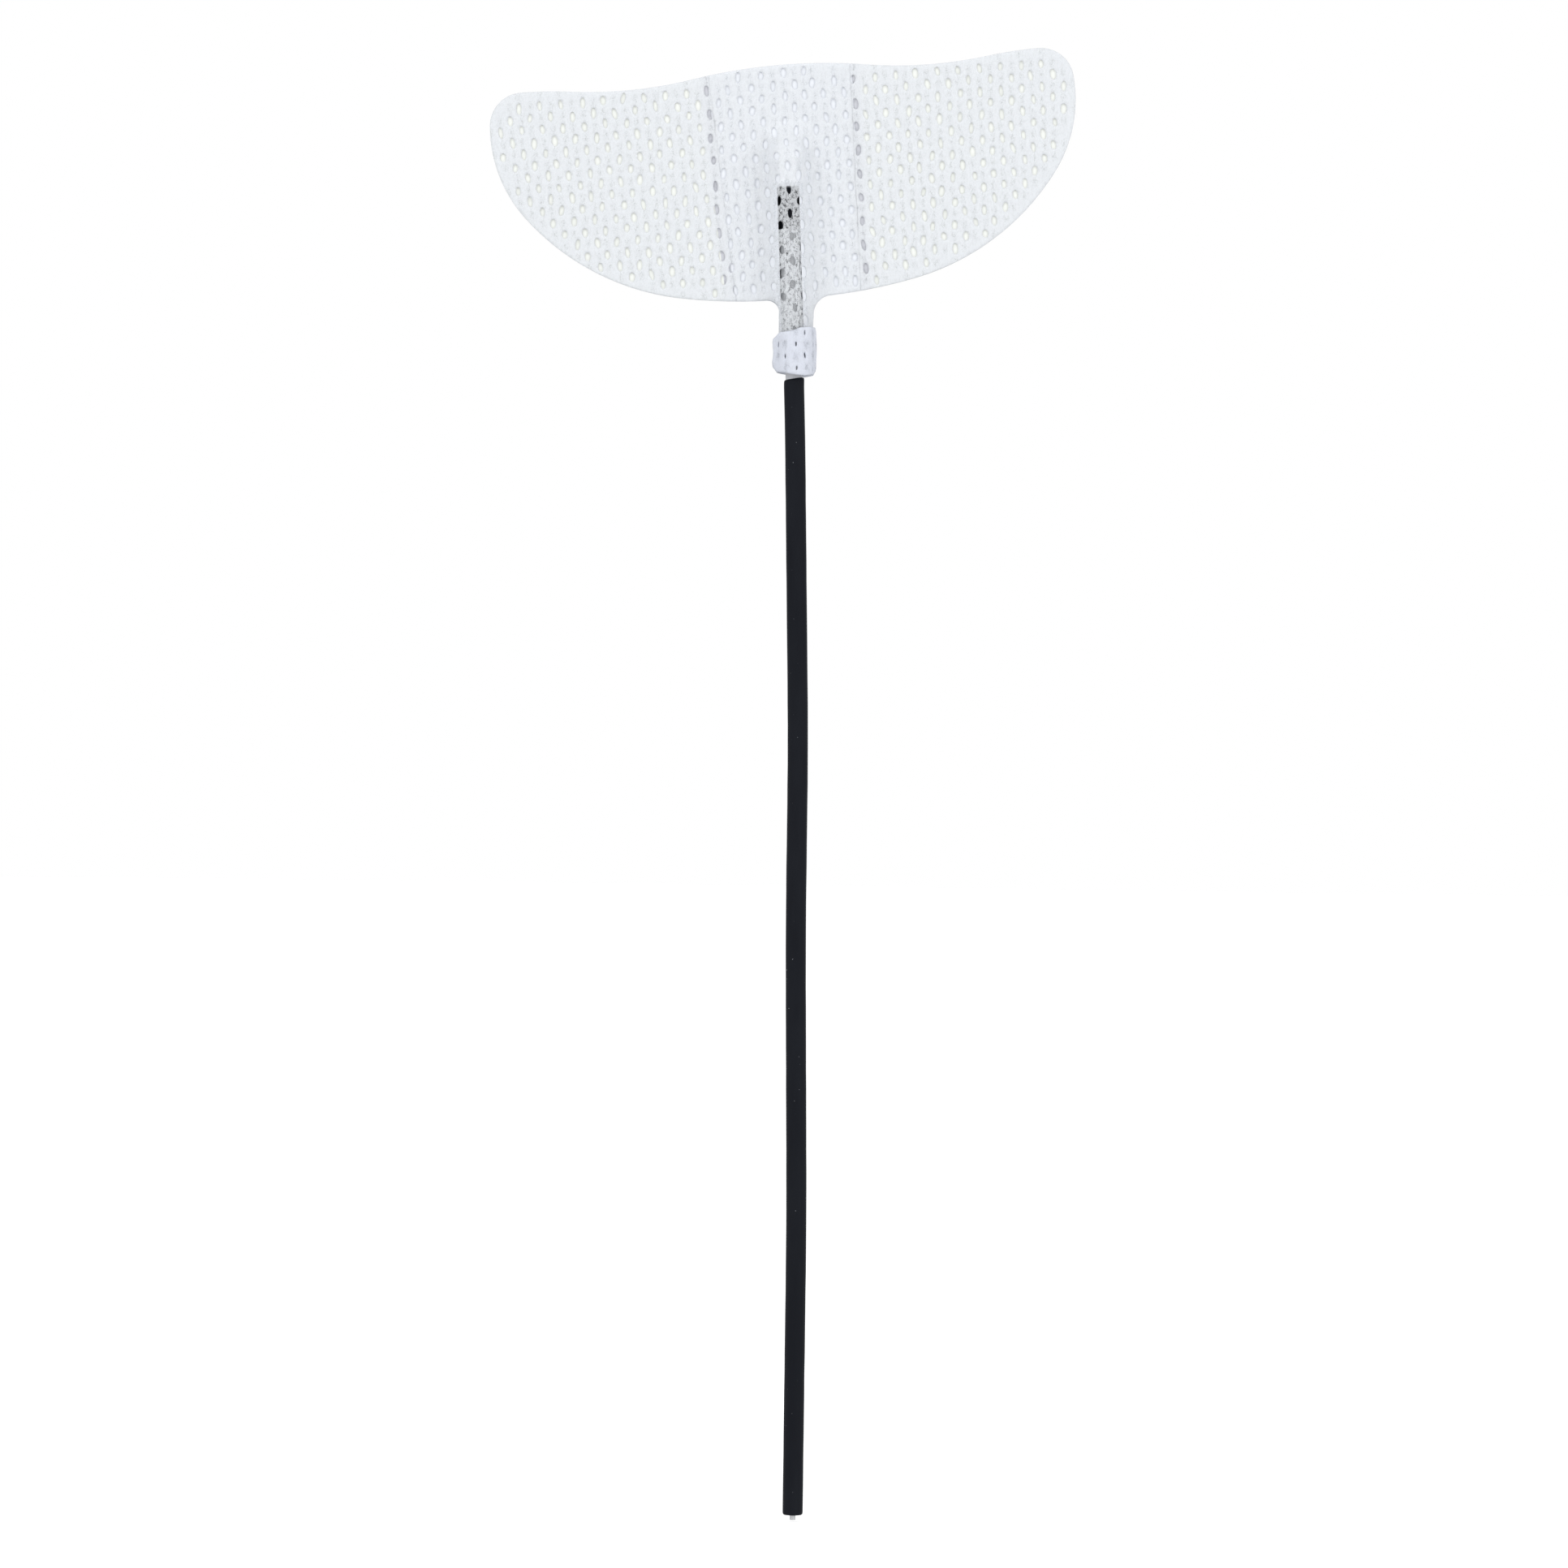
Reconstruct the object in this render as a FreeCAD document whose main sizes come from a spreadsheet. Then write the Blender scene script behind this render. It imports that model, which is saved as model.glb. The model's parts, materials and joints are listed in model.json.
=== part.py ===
# Sticky cloth insect trap on a wire stem. All sizes are in millimetres.
#
# A cloth head with two wings stands on top of a coated wire. The stem's straight foot is
# what a clip or the soil holds, and the centre of its lower end face is the origin.
# +Z runs up the foot, +X to the right and +Y to the back of the head, so the front cloth
# looks along -Y. The wire leans and bows a little, as hand-cut wire does.
#
# From front to back the head is cloth, adhesive film, and then either the centre backing
# strip or one of the two release liners. Each wing folds on its own line beside the strip.
import FreeCAD, Part
import math
import os
import Sketcher

Vector = FreeCAD.Vector

SIZES = [
    # The stem, from the wire outwards
    ("wire_diameter", 0.9, "bare steel core"),
    ("tube_diameter", 2.44, "pale inner tube"),
    ("sleeve_diameter", 3.0, "black outer sleeve"),
    ("coat_fit", 0.02, "radial gap between one coat and the next"),
    ("nub_length", 0.72, "bare wire below the foot"),
    ("tube_inset", 0.3, "inner tube's lower end above the foot"),
    ("foot_rounding", 0.25, "rounding of the sleeve's lower rim"),
    ("sleeve_end_slant", 9.0, "angle of the lower sleeve's hand-cut top, degrees"),
    ("sleeve_gap", 1.4, "bare inner tube between the two sleeves"),
    ("upper_length", 26.7, "upper sleeve"),
    ("wire_rise", 3.6, "wire above the upper sleeve, inside the lure"),
    # The stem's course: height and sideways shift of each bend
    ("stem_top", 196.1, "height of the upper sleeve's top"),
    ("stem_top_shift", -3.25, "upper sleeve's top"),
    ("foot_height", 44.0, "end of the straight foot"),
    ("bow_height", 86.0, "first bend"),
    ("bow_shift", -0.68, "first bend"),
    ("crest_height", 114.0, "second bend"),
    ("crest_shift", -0.68, "second bend"),
    ("throat_drop", 33.1, "third bend, below the stem's top"),
    ("throat_shift", -1.8, "third bend"),
    ("bend_reach", 8.0, "length of each bend's arc on either side of its corner"),
    # The wrap and the lure
    ("wrap_thickness", 0.35, "tape ply rolled round the upper sleeve"),
    ("wrap_drop", 6.1, "bare sleeve above the wrap"),
    ("wrap_overhang", 0.4, "wrap below the upper sleeve's lower end"),
    ("lure_width", 5.4, "lure across the stem"),
    ("lure_depth", 2.9, "lure from front to back"),
    ("lure_height", 6.6, "lure along the stem"),
    ("lure_sink", 0.6, "part of the lure's height trimmed to seat it on the sleeve"),
    # The head's place, and its die-cut outline about its own centre
    ("head_offset", 0.06, "head centre to the right of the stem's top"),
    ("head_rise", 1.45, "head centre above the stem's top"),
    ("head_tilt", 5.69, "lean of the head's axis to the left, degrees"),
    ("half_span", 43.3, "wing tip's distance from the head's axis"),
    ("half_height", 17.05, "top edge at the centre"),
    ("armpit_out", 4.75, "where either wing turns into the neck"),
    ("neck_right", 1.95, "neck's right edge at its upper end"),
    ("neck_right_drop", 2.83, "the same, below the armpit"),
    ("neck_left", 3.1, "neck's left edge at its upper end"),
    ("neck_left_drop", 2.03, "the same, below the armpit"),
    ("neck_foot_right", 0.8, "neck's right corner"),
    ("neck_foot_left", 3.9, "neck's left corner"),
    # The layers
    ("cloth_thickness", 0.35, "front cloth"),
    ("film_thickness", 0.1, "adhesive film"),
    ("strip_thickness", 0.25, "centre backing strip"),
    ("liner_thickness", 0.12, "release liner"),
    ("liner_clearance", 0.05, "running gap between a liner and its film"),
    ("tent_clearance", 0.1, "gap between the wrapped stem and the cloth"),
    ("strip_clearance", 0.13, "gap between the wrapped stem and the strip"),
    # The fold lines
    ("fold_out", 10.8, "fold line's distance from the head's centre"),
    ("fold_lean", 2.1, "fold line's lean outwards, degrees"),
    ("cloth_slit", 0.25, "cloth's edge from the fold line"),
    ("film_setback", 0.35, "film's edge from the fold line"),
    ("liner_setback", 0.55, "edge of a liner or the strip from the fold line"),
    # The band round the neck
    ("band_offset", 0.14, "band's centre to the right of the stem"),
    ("band_gap", 0.35, "band's lower edge above the lower sleeve"),
    ("band_height", 7.2, "band's height at its right side"),
    ("band_slack", 0.98, "band's inside beyond the neck's width"),
    ("band_front_room", 0.18, "gap between the tented neck and the band"),
    ("band_back_room", 0.1, "gap between the strip's neck and the band"),
    ("band_wall", 0.35, "band's ply"),
    ("band_rounding", 0.6, "rounding of the band's corners"),
    ("band_lean", 0.75, "band's lean to the left, degrees"),
    ("band_nip_width", 1.3, "corner nipped off the band's upper left"),
    ("band_nip_height", 1.9, "corner nipped off the band's upper left"),
    ("band_heel_width", 1.6, "corner taken off the band's lower left"),
    ("band_heel_height", 1.2, "corner taken off the band's lower left"),
]
SIZE = {name: value for name, value, _ in SIZES}
# The right wing's outline, from the top edge round the tip to the armpit. Each corner's
# distance out and up is a share of half_span and half_height, and arcs join the corners.
WING = {
    "brow": (0.3, 0.94),
    "dip": (0.711, 0.924),
    "shoulder": (0.886, 0.954),
    "tip": (1.0, 0.692),
    "flank": (0.909, -0.131),
    "belly": (0.398, -0.948),
}
ARMPIT_SHARE = -1.03
FULL_TURN = 360
UP = Vector(0, 0, 1)

doc = FreeCAD.newDocument("insect_trap")


def make_sheet():
    """Writes the driving sizes to a spreadsheet, one alias per row."""
    sheet = doc.addObject("Spreadsheet::Sheet", "sizes")
    for row, (name, value, note) in enumerate(SIZES, start=1):
        sheet.set(f"A{row}", name)
        sheet.set(f"B{row}", str(value))
        sheet.set(f"C{row}", note)
        sheet.setAlias(f"B{row}", name)
    doc.recompute()


def sized(name):
    """The reference to one cell, for an expression."""
    return f"sizes.{name}"


def bind(thing, **sizes):
    """Binds properties to expressions; a double underscore in a key stands for a dot."""
    for key, expression in sizes.items():
        thing.setExpression(key.replace("__", "."), expression)


def make(kind, name, **sizes):
    """A document object of one kind with its sizes bound."""
    thing = doc.addObject(kind, name)
    bind(thing, **sizes)
    return thing


def boolean(kind, name, base, tool):
    """Part::Cut, Part::Common or a two-piece Part::MultiFuse."""
    thing = doc.addObject(kind, name)
    if kind == "Part::MultiFuse":
        thing.Shapes = [base, tool]
    else:
        thing.Base = base
        thing.Tool = tool
    return thing


def spot(x="0", y="0", z="0", lean="0"):
    """A placement expression: a move and then a lean about the Y axis, in degrees."""
    return f"placement(vector({x}; {y}; {z}); rotation(vector(0; 1; 0); {lean}))"


WRAPPED = "sizes.sleeve_diameter / 2 + sizes.coat_fit + sizes.wrap_thickness"
STRIP_SEAT = f"{WRAPPED} + sizes.strip_clearance"
UPPER_START = "sizes.stem_top - sizes.upper_length"
LOWER_END = f"{UPPER_START} - sizes.sleeve_gap"
WRAP_END = f"{UPPER_START} - sizes.wrap_overhang"
TENTED = f"{WRAPPED} + sizes.tent_clearance + sizes.cloth_thickness"
BAND_HALF = ("(sizes.neck_foot_left + sizes.neck_foot_right + sizes.band_slack) / 2"
             " + sizes.band_wall")
BAND_FRONT = f"{TENTED} + sizes.band_front_room + sizes.band_wall"
BAND_BACK = f"{STRIP_SEAT} + sizes.strip_thickness + sizes.band_back_room + sizes.band_wall"
NECK_FOOT = "-(sizes.head_rise + sizes.upper_length)"
HEAD = spot("sizes.stem_top_shift + sizes.head_offset", "0",
            "sizes.stem_top + sizes.head_rise", "-sizes.head_tilt")
STEM_LEAN = "atan((sizes.throat_shift - sizes.stem_top_shift) / sizes.throat_drop)"
STEM_TOP = spot(sized("stem_top_shift"), "0", sized("stem_top"), f"-{STEM_LEAN}")
FACING_FRONT = "placement(vector(0; 0; 0); rotation(vector(1; 0; 0); 90))"


# ---------------------------------------------------------------- sketches


def set_size(sketch, constraint, size):
    """Adds one constraint of a size and binds it to an expression."""
    number = sketch.addConstraint(constraint)
    sketch.setExpression(f"Constraints[{number}]", size)


def pin_point(sketch, geometry, point, x, y):
    """Fixes one point of a sketch by its two distances from the origin."""
    here = sketch.getPoint(geometry, point)
    set_size(sketch, Sketcher.Constraint("DistanceX", -1, 1, geometry, point, here.x), x)
    set_size(sketch, Sketcher.Constraint("DistanceY", -1, 1, geometry, point, here.y), y)


def arc_between(start, heading, end):
    """The arc that leaves start along heading and reaches end.

    Returns the arc, its point numbers at start and end, and the heading it arrives with.
    """
    chord = end - start
    turn = math.atan2(chord.y, chord.x) - heading
    turn = math.atan2(math.sin(turn), math.cos(turn))
    radius = chord.Length / (2 * math.sin(abs(turn)))
    side = math.copysign(math.pi / 2, turn)
    centre = start + Vector(math.cos(heading + side), math.sin(heading + side)) * radius
    first = heading - side
    last = first + 2 * turn
    circle = Part.Circle(centre, UP, radius)
    if turn > 0:
        return Part.ArcOfCircle(circle, first, last), (1, 2), heading + 2 * turn
    return Part.ArcOfCircle(circle, last, first), (2, 1), heading + 2 * turn


def arc_run(sketch, corners, sign):
    """A run of arcs from the head's axis, each leaving the last without a kink.

    Each corner is a pair of expressions with its point, and sign is -1 for the left run.
    Returns the geometry number and point number of the run's last point.
    """
    (_, top), here = corners[0]
    heading = 0 if sign > 0 else math.pi
    last = None
    for place, there in corners[1:]:
        arc, (near, far), heading = arc_between(here, heading, there)
        number = sketch.addGeometry(arc, False)
        if last is None:
            pin_point(sketch, number, near, "0", top)
            sketch.addConstraint(Sketcher.Constraint("PointOnObject", number, 3, -2))
        else:
            joint = Sketcher.Constraint("Tangent", last[0], last[1], number, near)
            sketch.addConstraint(joint)
        pin_point(sketch, number, far, *place)
        last = (number, far)
        here = there
    return last


def wing_corners(sign, neck, neck_drop):
    """One wing's corners, from the top edge at the head's axis to the neck."""
    corners = [(("0", "sizes.half_height"), Vector(0, SIZE["half_height"]))]
    for out, up in WING.values():
        place = (f"{sign * out} * sizes.half_span", f"{up} * sizes.half_height")
        point = Vector(sign * out * SIZE["half_span"], up * SIZE["half_height"])
        corners.append((place, point))
    armpit = f"{ARMPIT_SHARE} * sizes.half_height"
    depth = ARMPIT_SHARE * SIZE["half_height"]
    corners.append(((f"{sign} * sizes.armpit_out", armpit),
                    Vector(sign * SIZE["armpit_out"], depth)))
    corners.append(((f"{sign} * {sized(neck)}", f"{armpit} - {sized(neck_drop)}"),
                    Vector(sign * SIZE[neck], depth - SIZE[neck_drop])))
    return corners


def head_outline():
    """The die-cut shape of the whole head: two wings, and the neck at the bottom."""
    sketch = doc.addObject("Sketcher::SketchObject", "head_outline")
    bind(sketch, Placement=f"{HEAD} * {FACING_FRONT}")
    right_corners = wing_corners(1, "neck_right", "neck_right_drop")
    left_corners = wing_corners(-1, "neck_left", "neck_left_drop")
    right = arc_run(sketch, right_corners, 1)
    left = arc_run(sketch, left_corners, -1)
    neck_foot = -SIZE["head_rise"] - SIZE["upper_length"]
    foot_right = Vector(SIZE["neck_foot_right"], neck_foot)
    foot_left = Vector(-SIZE["neck_foot_left"], neck_foot)
    side = sketch.addGeometry(Part.LineSegment(right_corners[-1][1], foot_right), False)
    foot = sketch.addGeometry(Part.LineSegment(foot_right, foot_left), False)
    rise = sketch.addGeometry(Part.LineSegment(foot_left, left_corners[-1][1]), False)
    for ends in ((*right, side, 1), (side, 2, foot, 1), (foot, 2, rise, 1), (rise, 2, *left)):
        sketch.addConstraint(Sketcher.Constraint("Coincident", *ends))
    pin_point(sketch, side, 2, "sizes.neck_foot_right", NECK_FOOT)
    pin_point(sketch, foot, 2, "-sizes.neck_foot_left", NECK_FOOT)
    return sketch


def stem_course():
    """The stem's centre line: straight runs joined by long, gentle arcs."""
    top_gain = SIZE["wire_rise"] / SIZE["throat_drop"]
    top_x = SIZE["stem_top_shift"] + top_gain * (SIZE["stem_top_shift"] - SIZE["throat_shift"])
    corners = [
        Vector(0, 0, -SIZE["nub_length"]),
        Vector(0, 0, SIZE["foot_height"]),
        Vector(SIZE["bow_shift"], 0, SIZE["bow_height"]),
        Vector(SIZE["crest_shift"], 0, SIZE["crest_height"]),
        Vector(SIZE["throat_shift"], 0, SIZE["stem_top"] - SIZE["throat_drop"]),
        Vector(top_x, 0, SIZE["stem_top"] + SIZE["wire_rise"]),
    ]
    edges = []
    here = corners[0]
    for before, corner, after in zip(corners, corners[1:], corners[2:]):
        into = (corner - before).normalize()
        out = (after - corner).normalize()
        reach = SIZE["bend_reach"]
        half_turn = into.getAngle(out) / 2
        sagitta = reach * math.tan(half_turn / 2)
        start = corner - into * reach
        end = corner + out * reach
        middle = (start + end) / 2
        crown = middle + (corner - middle).normalize() * sagitta * math.cos(half_turn)
        edges.append(Part.LineSegment(here, start).toShape())
        edges.append(Part.Arc(start, crown, end).toShape())
        print(f"bend at {corner.z:.0f}: radius {reach / math.tan(half_turn):.0f}")
        here = end
    edges.append(Part.LineSegment(here, corners[-1]).toShape())
    course = doc.addObject("Part::Feature", "stem_course")
    course.Shape = Part.Wire(edges)
    return course


# ---------------------------------------------------------------- building blocks


def rod(name, radius, course):
    """A round rod of one radius along the whole of the stem's course."""
    circle = make("Part::Circle", f"{name}_section", Radius=radius)
    bind(circle, Placement__Base__z="-" + sized("nub_length"))
    sweep = doc.addObject("Part::Sweep", name)
    sweep.Sections = [circle]
    sweep.Spine = (course, [f"Edge{n}" for n in range(1, len(course.Shape.Edges) + 1)])
    sweep.Solid = True
    return sweep


def slab(name, low, high, slant="0"):
    """A wide block between two heights whose upper face may slant about its middle."""
    width = "20 * sizes.sleeve_diameter"
    block = make("Part::Box", name, Length=width, Width=width, Height=f"{high} - ({low})")
    centre = f"-{width} / 2"
    turned = spot(z=high, x=sized("throat_shift"), lean=slant)
    bind(block, Placement=f"{turned} * {spot(centre, centre, f'{low} - ({high})')}")
    return block


def layer(name, outline, front, back):
    """The head's whole outline as a plate between two distances behind the stem's axis."""
    plate = make("Part::Extrusion", name, LengthRev=back, LengthFwd=f"-({front})")
    plate.Base = outline
    plate.DirMode = "Normal"
    plate.Solid = True
    return plate


def beyond_fold(name, side, setback):
    """The block outside one fold line, starting setback further out than the line."""
    reach = "2 * sizes.half_span"
    block = make("Part::Box", name, Length=reach, Width=reach, Height=reach)
    line = spot(f"{side} * sizes.fold_out", lean=f"{side} * sizes.fold_lean")
    start = setback if side > 0 else f"-({setback}) - {reach}"
    bind(block, Placement=f"{HEAD} * {line} * {spot(start, f'-{reach} / 2', f'-{reach} / 2')}")
    return block


def between_folds(name, plate, setback):
    """The middle of a plate, up to setback short of each fold line."""
    right = beyond_fold(f"{name}_right_side", 1, f"-({setback})")
    left = beyond_fold(f"{name}_left_side", -1, f"-({setback})")
    sides = boolean("Part::MultiFuse", f"{name}_sides", right, left)
    return boolean("Part::Cut", name, plate, sides)


def tent(name, grow):
    """The round form that the cloth takes over the stem and the lure."""
    radius = f"{WRAPPED} + {grow}"
    length = "sizes.upper_length + sizes.wrap_overhang"
    pipe = make("Part::Cylinder", f"{name}_pipe", Radius=radius,
                Height=f"{length} + sizes.lure_sink")
    bind(pipe, Placement=f"{STEM_TOP} * {spot(z=f'-({length})')}")
    dome = make("Part::Ellipsoid", f"{name}_dome",
                Radius1=f"sizes.lure_height / 2 + {grow}",
                Radius2=f"sizes.lure_width / 2 + {grow}",
                Radius3=radius)
    dome.Angle1 = -FULL_TURN / 4
    dome.Angle2 = FULL_TURN / 4
    dome.Angle3 = FULL_TURN
    bind(dome, Placement=f"{STEM_TOP} * {spot(z='sizes.lure_height / 2 - sizes.lure_sink')}")
    return boolean("Part::MultiFuse", name, pipe, dome)


# ---------------------------------------------------------------- the stem


def build_stem(course):
    """The wire, its pale inner tube, the two black sleeves and the wrap."""
    wire = rod("core_wire", "sizes.wire_diameter / 2", course)
    wire_way = rod("wire_way", "sizes.wire_diameter / 2 + sizes.coat_fit", course)
    tube_rod = rod("tube_rod", "sizes.tube_diameter / 2", course)
    tube_way = rod("tube_way", "sizes.tube_diameter / 2 + sizes.coat_fit", course)
    sleeve_rod = rod("sleeve_rod", "sizes.sleeve_diameter / 2", course)
    sleeve_way = rod("sleeve_way", "sizes.sleeve_diameter / 2 + sizes.coat_fit", course)
    wrap_rod = rod("wrap_rod", WRAPPED, course)

    tube_slab = slab("tube_slab", sized("tube_inset"), sized("stem_top"))
    tube_blank = boolean("Part::Common", "tube_blank", tube_rod, tube_slab)
    tube = boolean("Part::Cut", "inner_tube", tube_blank, wire_way)

    lower_slab = slab("lower_slab", "0", LOWER_END, "-sizes.sleeve_end_slant")
    foot_slab = slab("foot_slab", "0", sized("stem_top"))
    lower_rod = boolean("Part::Common", "lower_rod", sleeve_rod, foot_slab)
    lower_blank = boolean("Part::Common", "lower_blank", lower_rod, lower_slab)
    lower_bored = boolean("Part::Cut", "lower_bored", lower_blank, tube_way)
    doc.recompute()
    lower = doc.addObject("Part::Fillet", "lower_sleeve")
    lower.Base = lower_bored
    rim = [number for number, edge in enumerate(lower_bored.Shape.Edges, start=1)
           if abs(edge.BoundBox.ZMax) < SIZE["coat_fit"]
           and edge.BoundBox.XLength > SIZE["tube_diameter"] + 4 * SIZE["coat_fit"]]
    lower.Edges = [(number, SIZE["foot_rounding"], SIZE["foot_rounding"]) for number in rim]

    upper_slab = slab("upper_slab", UPPER_START, sized("stem_top"))
    upper_blank = boolean("Part::Common", "upper_blank", sleeve_rod, upper_slab)
    upper = boolean("Part::Cut", "upper_sleeve", upper_blank, tube_way)

    wrap_slab = slab("wrap_slab", WRAP_END, "sizes.stem_top - sizes.wrap_drop")
    wrap_blank = boolean("Part::Common", "wrap_blank", wrap_rod, wrap_slab)
    wrap = boolean("Part::Cut", "stem_wrap", wrap_blank, sleeve_way)
    return [wire, tube, lower, upper, wrap, build_lure(wire_way)]


def build_lure(wire_way):
    """The rubber lure: a flattened bead, bored for the wire and flat where it seats."""
    bead = make("Part::Ellipsoid", "lure_bead",
                Radius1="sizes.lure_height / 2",
                Radius2="sizes.lure_width / 2",
                Radius3="sizes.lure_depth / 2")
    bead.Angle1 = -FULL_TURN / 4
    bead.Angle2 = FULL_TURN / 4
    bead.Angle3 = FULL_TURN
    bind(bead, Placement=f"{STEM_TOP} * {spot(z='sizes.lure_height / 2 - sizes.lure_sink')}")
    seat = slab("lure_seat", sized("stem_top"), "sizes.stem_top + 2 * sizes.lure_height")
    seated = boolean("Part::Common", "lure_seated", bead, seat)
    return boolean("Part::Cut", "lure", seated, wire_way)


# ---------------------------------------------------------------- the head


def build_head(outline):
    """The cloth, films, strip and liners of the head, centre first and then each wing."""
    film_back = STRIP_SEAT
    cloth_back = f"{film_back} - sizes.film_thickness"
    cloth_front = f"{cloth_back} - sizes.cloth_thickness"
    liner_front = f"{film_back} + sizes.liner_clearance"
    cloth = layer("cloth_sheet", outline, cloth_front, cloth_back)
    film = layer("film_sheet", outline, cloth_back, film_back)
    strip = layer("strip_sheet", outline, film_back, f"{film_back} + sizes.strip_thickness")
    liner = layer("liner_sheet", outline, liner_front, f"{liner_front} + sizes.liner_thickness")

    cavity = tent("tent_cavity", sized("tent_clearance"))
    skin = tent("tent_skin", "sizes.tent_clearance + sizes.cloth_thickness")
    reach = "2 * sizes.half_span"
    front = make("Part::Box", "front_space", Length=reach, Width=reach, Height=reach)
    corner = spot(f"-{reach} / 2", f"{cloth_back} - {reach}", f"-{reach} / 2")
    bind(front, Placement=f"{HEAD} * {corner}")
    arch = boolean("Part::Common", "tent_arch", skin, front)
    cloth_middle = between_folds("cloth_middle", cloth, sized("cloth_slit"))
    domed = boolean("Part::MultiFuse", "cloth_domed", cloth_middle, arch)
    nodes = [boolean("Part::Cut", "front_cloth", domed, cavity)]
    film_middle = between_folds("film_middle", film, sized("film_setback"))
    nodes.append(boolean("Part::Cut", "centre_adhesive", film_middle, skin))
    nodes.append(between_folds("backing_strip", strip, sized("liner_setback")))

    for side, word in ((-1, "left"), (1, "right")):
        for sheet, piece, setback in (
            (cloth, "wing_cloth", "cloth_slit"),
            (film, "adhesive", "film_setback"),
            (liner, "liner", "liner_setback"),
        ):
            area = beyond_fold(f"{word}_{piece}_area", side, sized(setback))
            nodes.append(boolean("Part::Common", f"{word}_{piece}", sheet, area))
    return nodes


def rounded_frame(sketch, left, right, low, high, radius):
    """Adds a rounded rectangle to a sketch, drawn roughly and then set by expressions."""
    reach = SIZE["sleeve_diameter"]
    rough = SIZE["band_wall"]
    quarter = math.pi / 2
    inner = reach - rough
    centres = [(inner, inner), (-inner, inner), (-inner, -inner), (inner, -inner)]
    arcs = []
    for turn, (x, y) in enumerate(centres):
        circle = Part.Circle(Vector(x, y), UP, rough)
        arc = Part.ArcOfCircle(circle, turn * quarter, (turn + 1) * quarter)
        arcs.append(sketch.addGeometry(arc, False))
    for turn, arc in enumerate(arcs):
        follower = arcs[(turn + 1) % len(arcs)]
        start = sketch.getPoint(arc, 2)
        end = sketch.getPoint(follower, 1)
        edge = sketch.addGeometry(Part.LineSegment(start, end), False)
        sketch.addConstraint(Sketcher.Constraint("Tangent", arc, 2, edge, 1))
        sketch.addConstraint(Sketcher.Constraint("Tangent", edge, 2, follower, 1))
        kind = "Horizontal" if turn % 2 == 0 else "Vertical"
        sketch.addConstraint(Sketcher.Constraint(kind, edge))
        if turn:
            sketch.addConstraint(Sketcher.Constraint("Equal", arcs[0], arc))
    set_size(sketch, Sketcher.Constraint("Radius", arcs[0], rough), radius)
    for kind, arc, point, size in (
        ("DistanceX", arcs[0], 1, right),
        ("DistanceY", arcs[0], 2, high),
        ("DistanceX", arcs[2], 1, left),
        ("DistanceY", arcs[2], 2, low),
    ):
        here = getattr(sketch.getPoint(arc, point), kind[-1].lower())
        set_size(sketch, Sketcher.Constraint(kind, -1, 1, arc, point, here), size)


def plane_of(body, role):
    """One of a body's own origin planes."""
    return next(item for item in body.Origin.OriginFeatures if item.Role == role)


def sketch_on(body, name, role):
    """A sketch of a body, flat on one of its own planes."""
    sketch = body.newObject("Sketcher::SketchObject", name)
    sketch.AttachmentSupport = [(plane_of(body, role), "")]
    sketch.MapMode = "FlatFace"
    return sketch


def cut_corner(sketch, edge, name, side):
    """Adds the triangle that takes one left corner off the band.

    edge is the height of the corner, and side is 1 at the top and -1 at the bottom.
    """
    width = SIZE[f"band_{name}_width"]
    height = SIZE[f"band_{name}_height"]
    low = side * SIZE["band_height"]
    corner = Vector(-width, low)
    points = [corner, Vector(0, low), corner - Vector(0, side * height)]
    places = [
        (f"-({BAND_HALF})", edge),
        (f"sizes.band_{name}_width - ({BAND_HALF})", edge),
        (f"-({BAND_HALF})", f"{edge} - {side} * sizes.band_{name}_height"),
    ]
    lines = [sketch.addGeometry(Part.LineSegment(points[n], points[n - 2]), False)
             for n in range(len(points))]
    for line, follower in zip(lines, lines[1:] + lines[:1]):
        sketch.addConstraint(Sketcher.Constraint("Coincident", line, 2, follower, 1))
    for line, (x, y) in zip(lines, places):
        pin_point(sketch, line, 1, x, y)


def build_band():
    """The band that holds the neck: a flattened loop of cloth with two corners cut."""
    body = doc.addObject("PartDesign::Body", "neck_band")
    base = f"{LOWER_END} + sizes.band_gap"
    shift = f"sizes.stem_top_shift + tan({STEM_LEAN}) * (sizes.stem_top - ({base}))"
    bind(body, Placement=spot(f"{shift} + sizes.band_offset", "0", base, "-sizes.band_lean"))
    loop = sketch_on(body, "band_loop", "XY_Plane")
    wall = "sizes.band_wall"
    rounded_frame(loop, f"-({BAND_HALF})", BAND_HALF, f"-({BAND_FRONT})", BAND_BACK,
                  "sizes.band_rounding")
    rounded_frame(loop, f"{wall} - ({BAND_HALF})", f"{BAND_HALF} - {wall}",
                  f"{wall} - ({BAND_FRONT})", f"{BAND_BACK} - {wall}",
                  f"sizes.band_rounding - {wall}")
    pad = body.newObject("PartDesign::Pad", "band_pad")
    pad.Profile = loop
    bind(pad, Length="sizes.band_height")
    doc.recompute()
    whole = body.Shape.Volume

    corners = sketch_on(body, "band_corners", "XZ_Plane")
    cut_corner(corners, "sizes.band_height", "nip", 1)
    cut_corner(corners, "0", "heel", -1)
    trim = body.newObject("PartDesign::Pocket", "band_trim")
    trim.Profile = corners
    trim.Type = "ThroughAll"
    trim.Midplane = True
    doc.recompute()
    if body.Shape.Volume >= whole:
        raise RuntimeError("band_trim cut nothing")
    return body


# ---------------------------------------------------------------- checks and files


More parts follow.
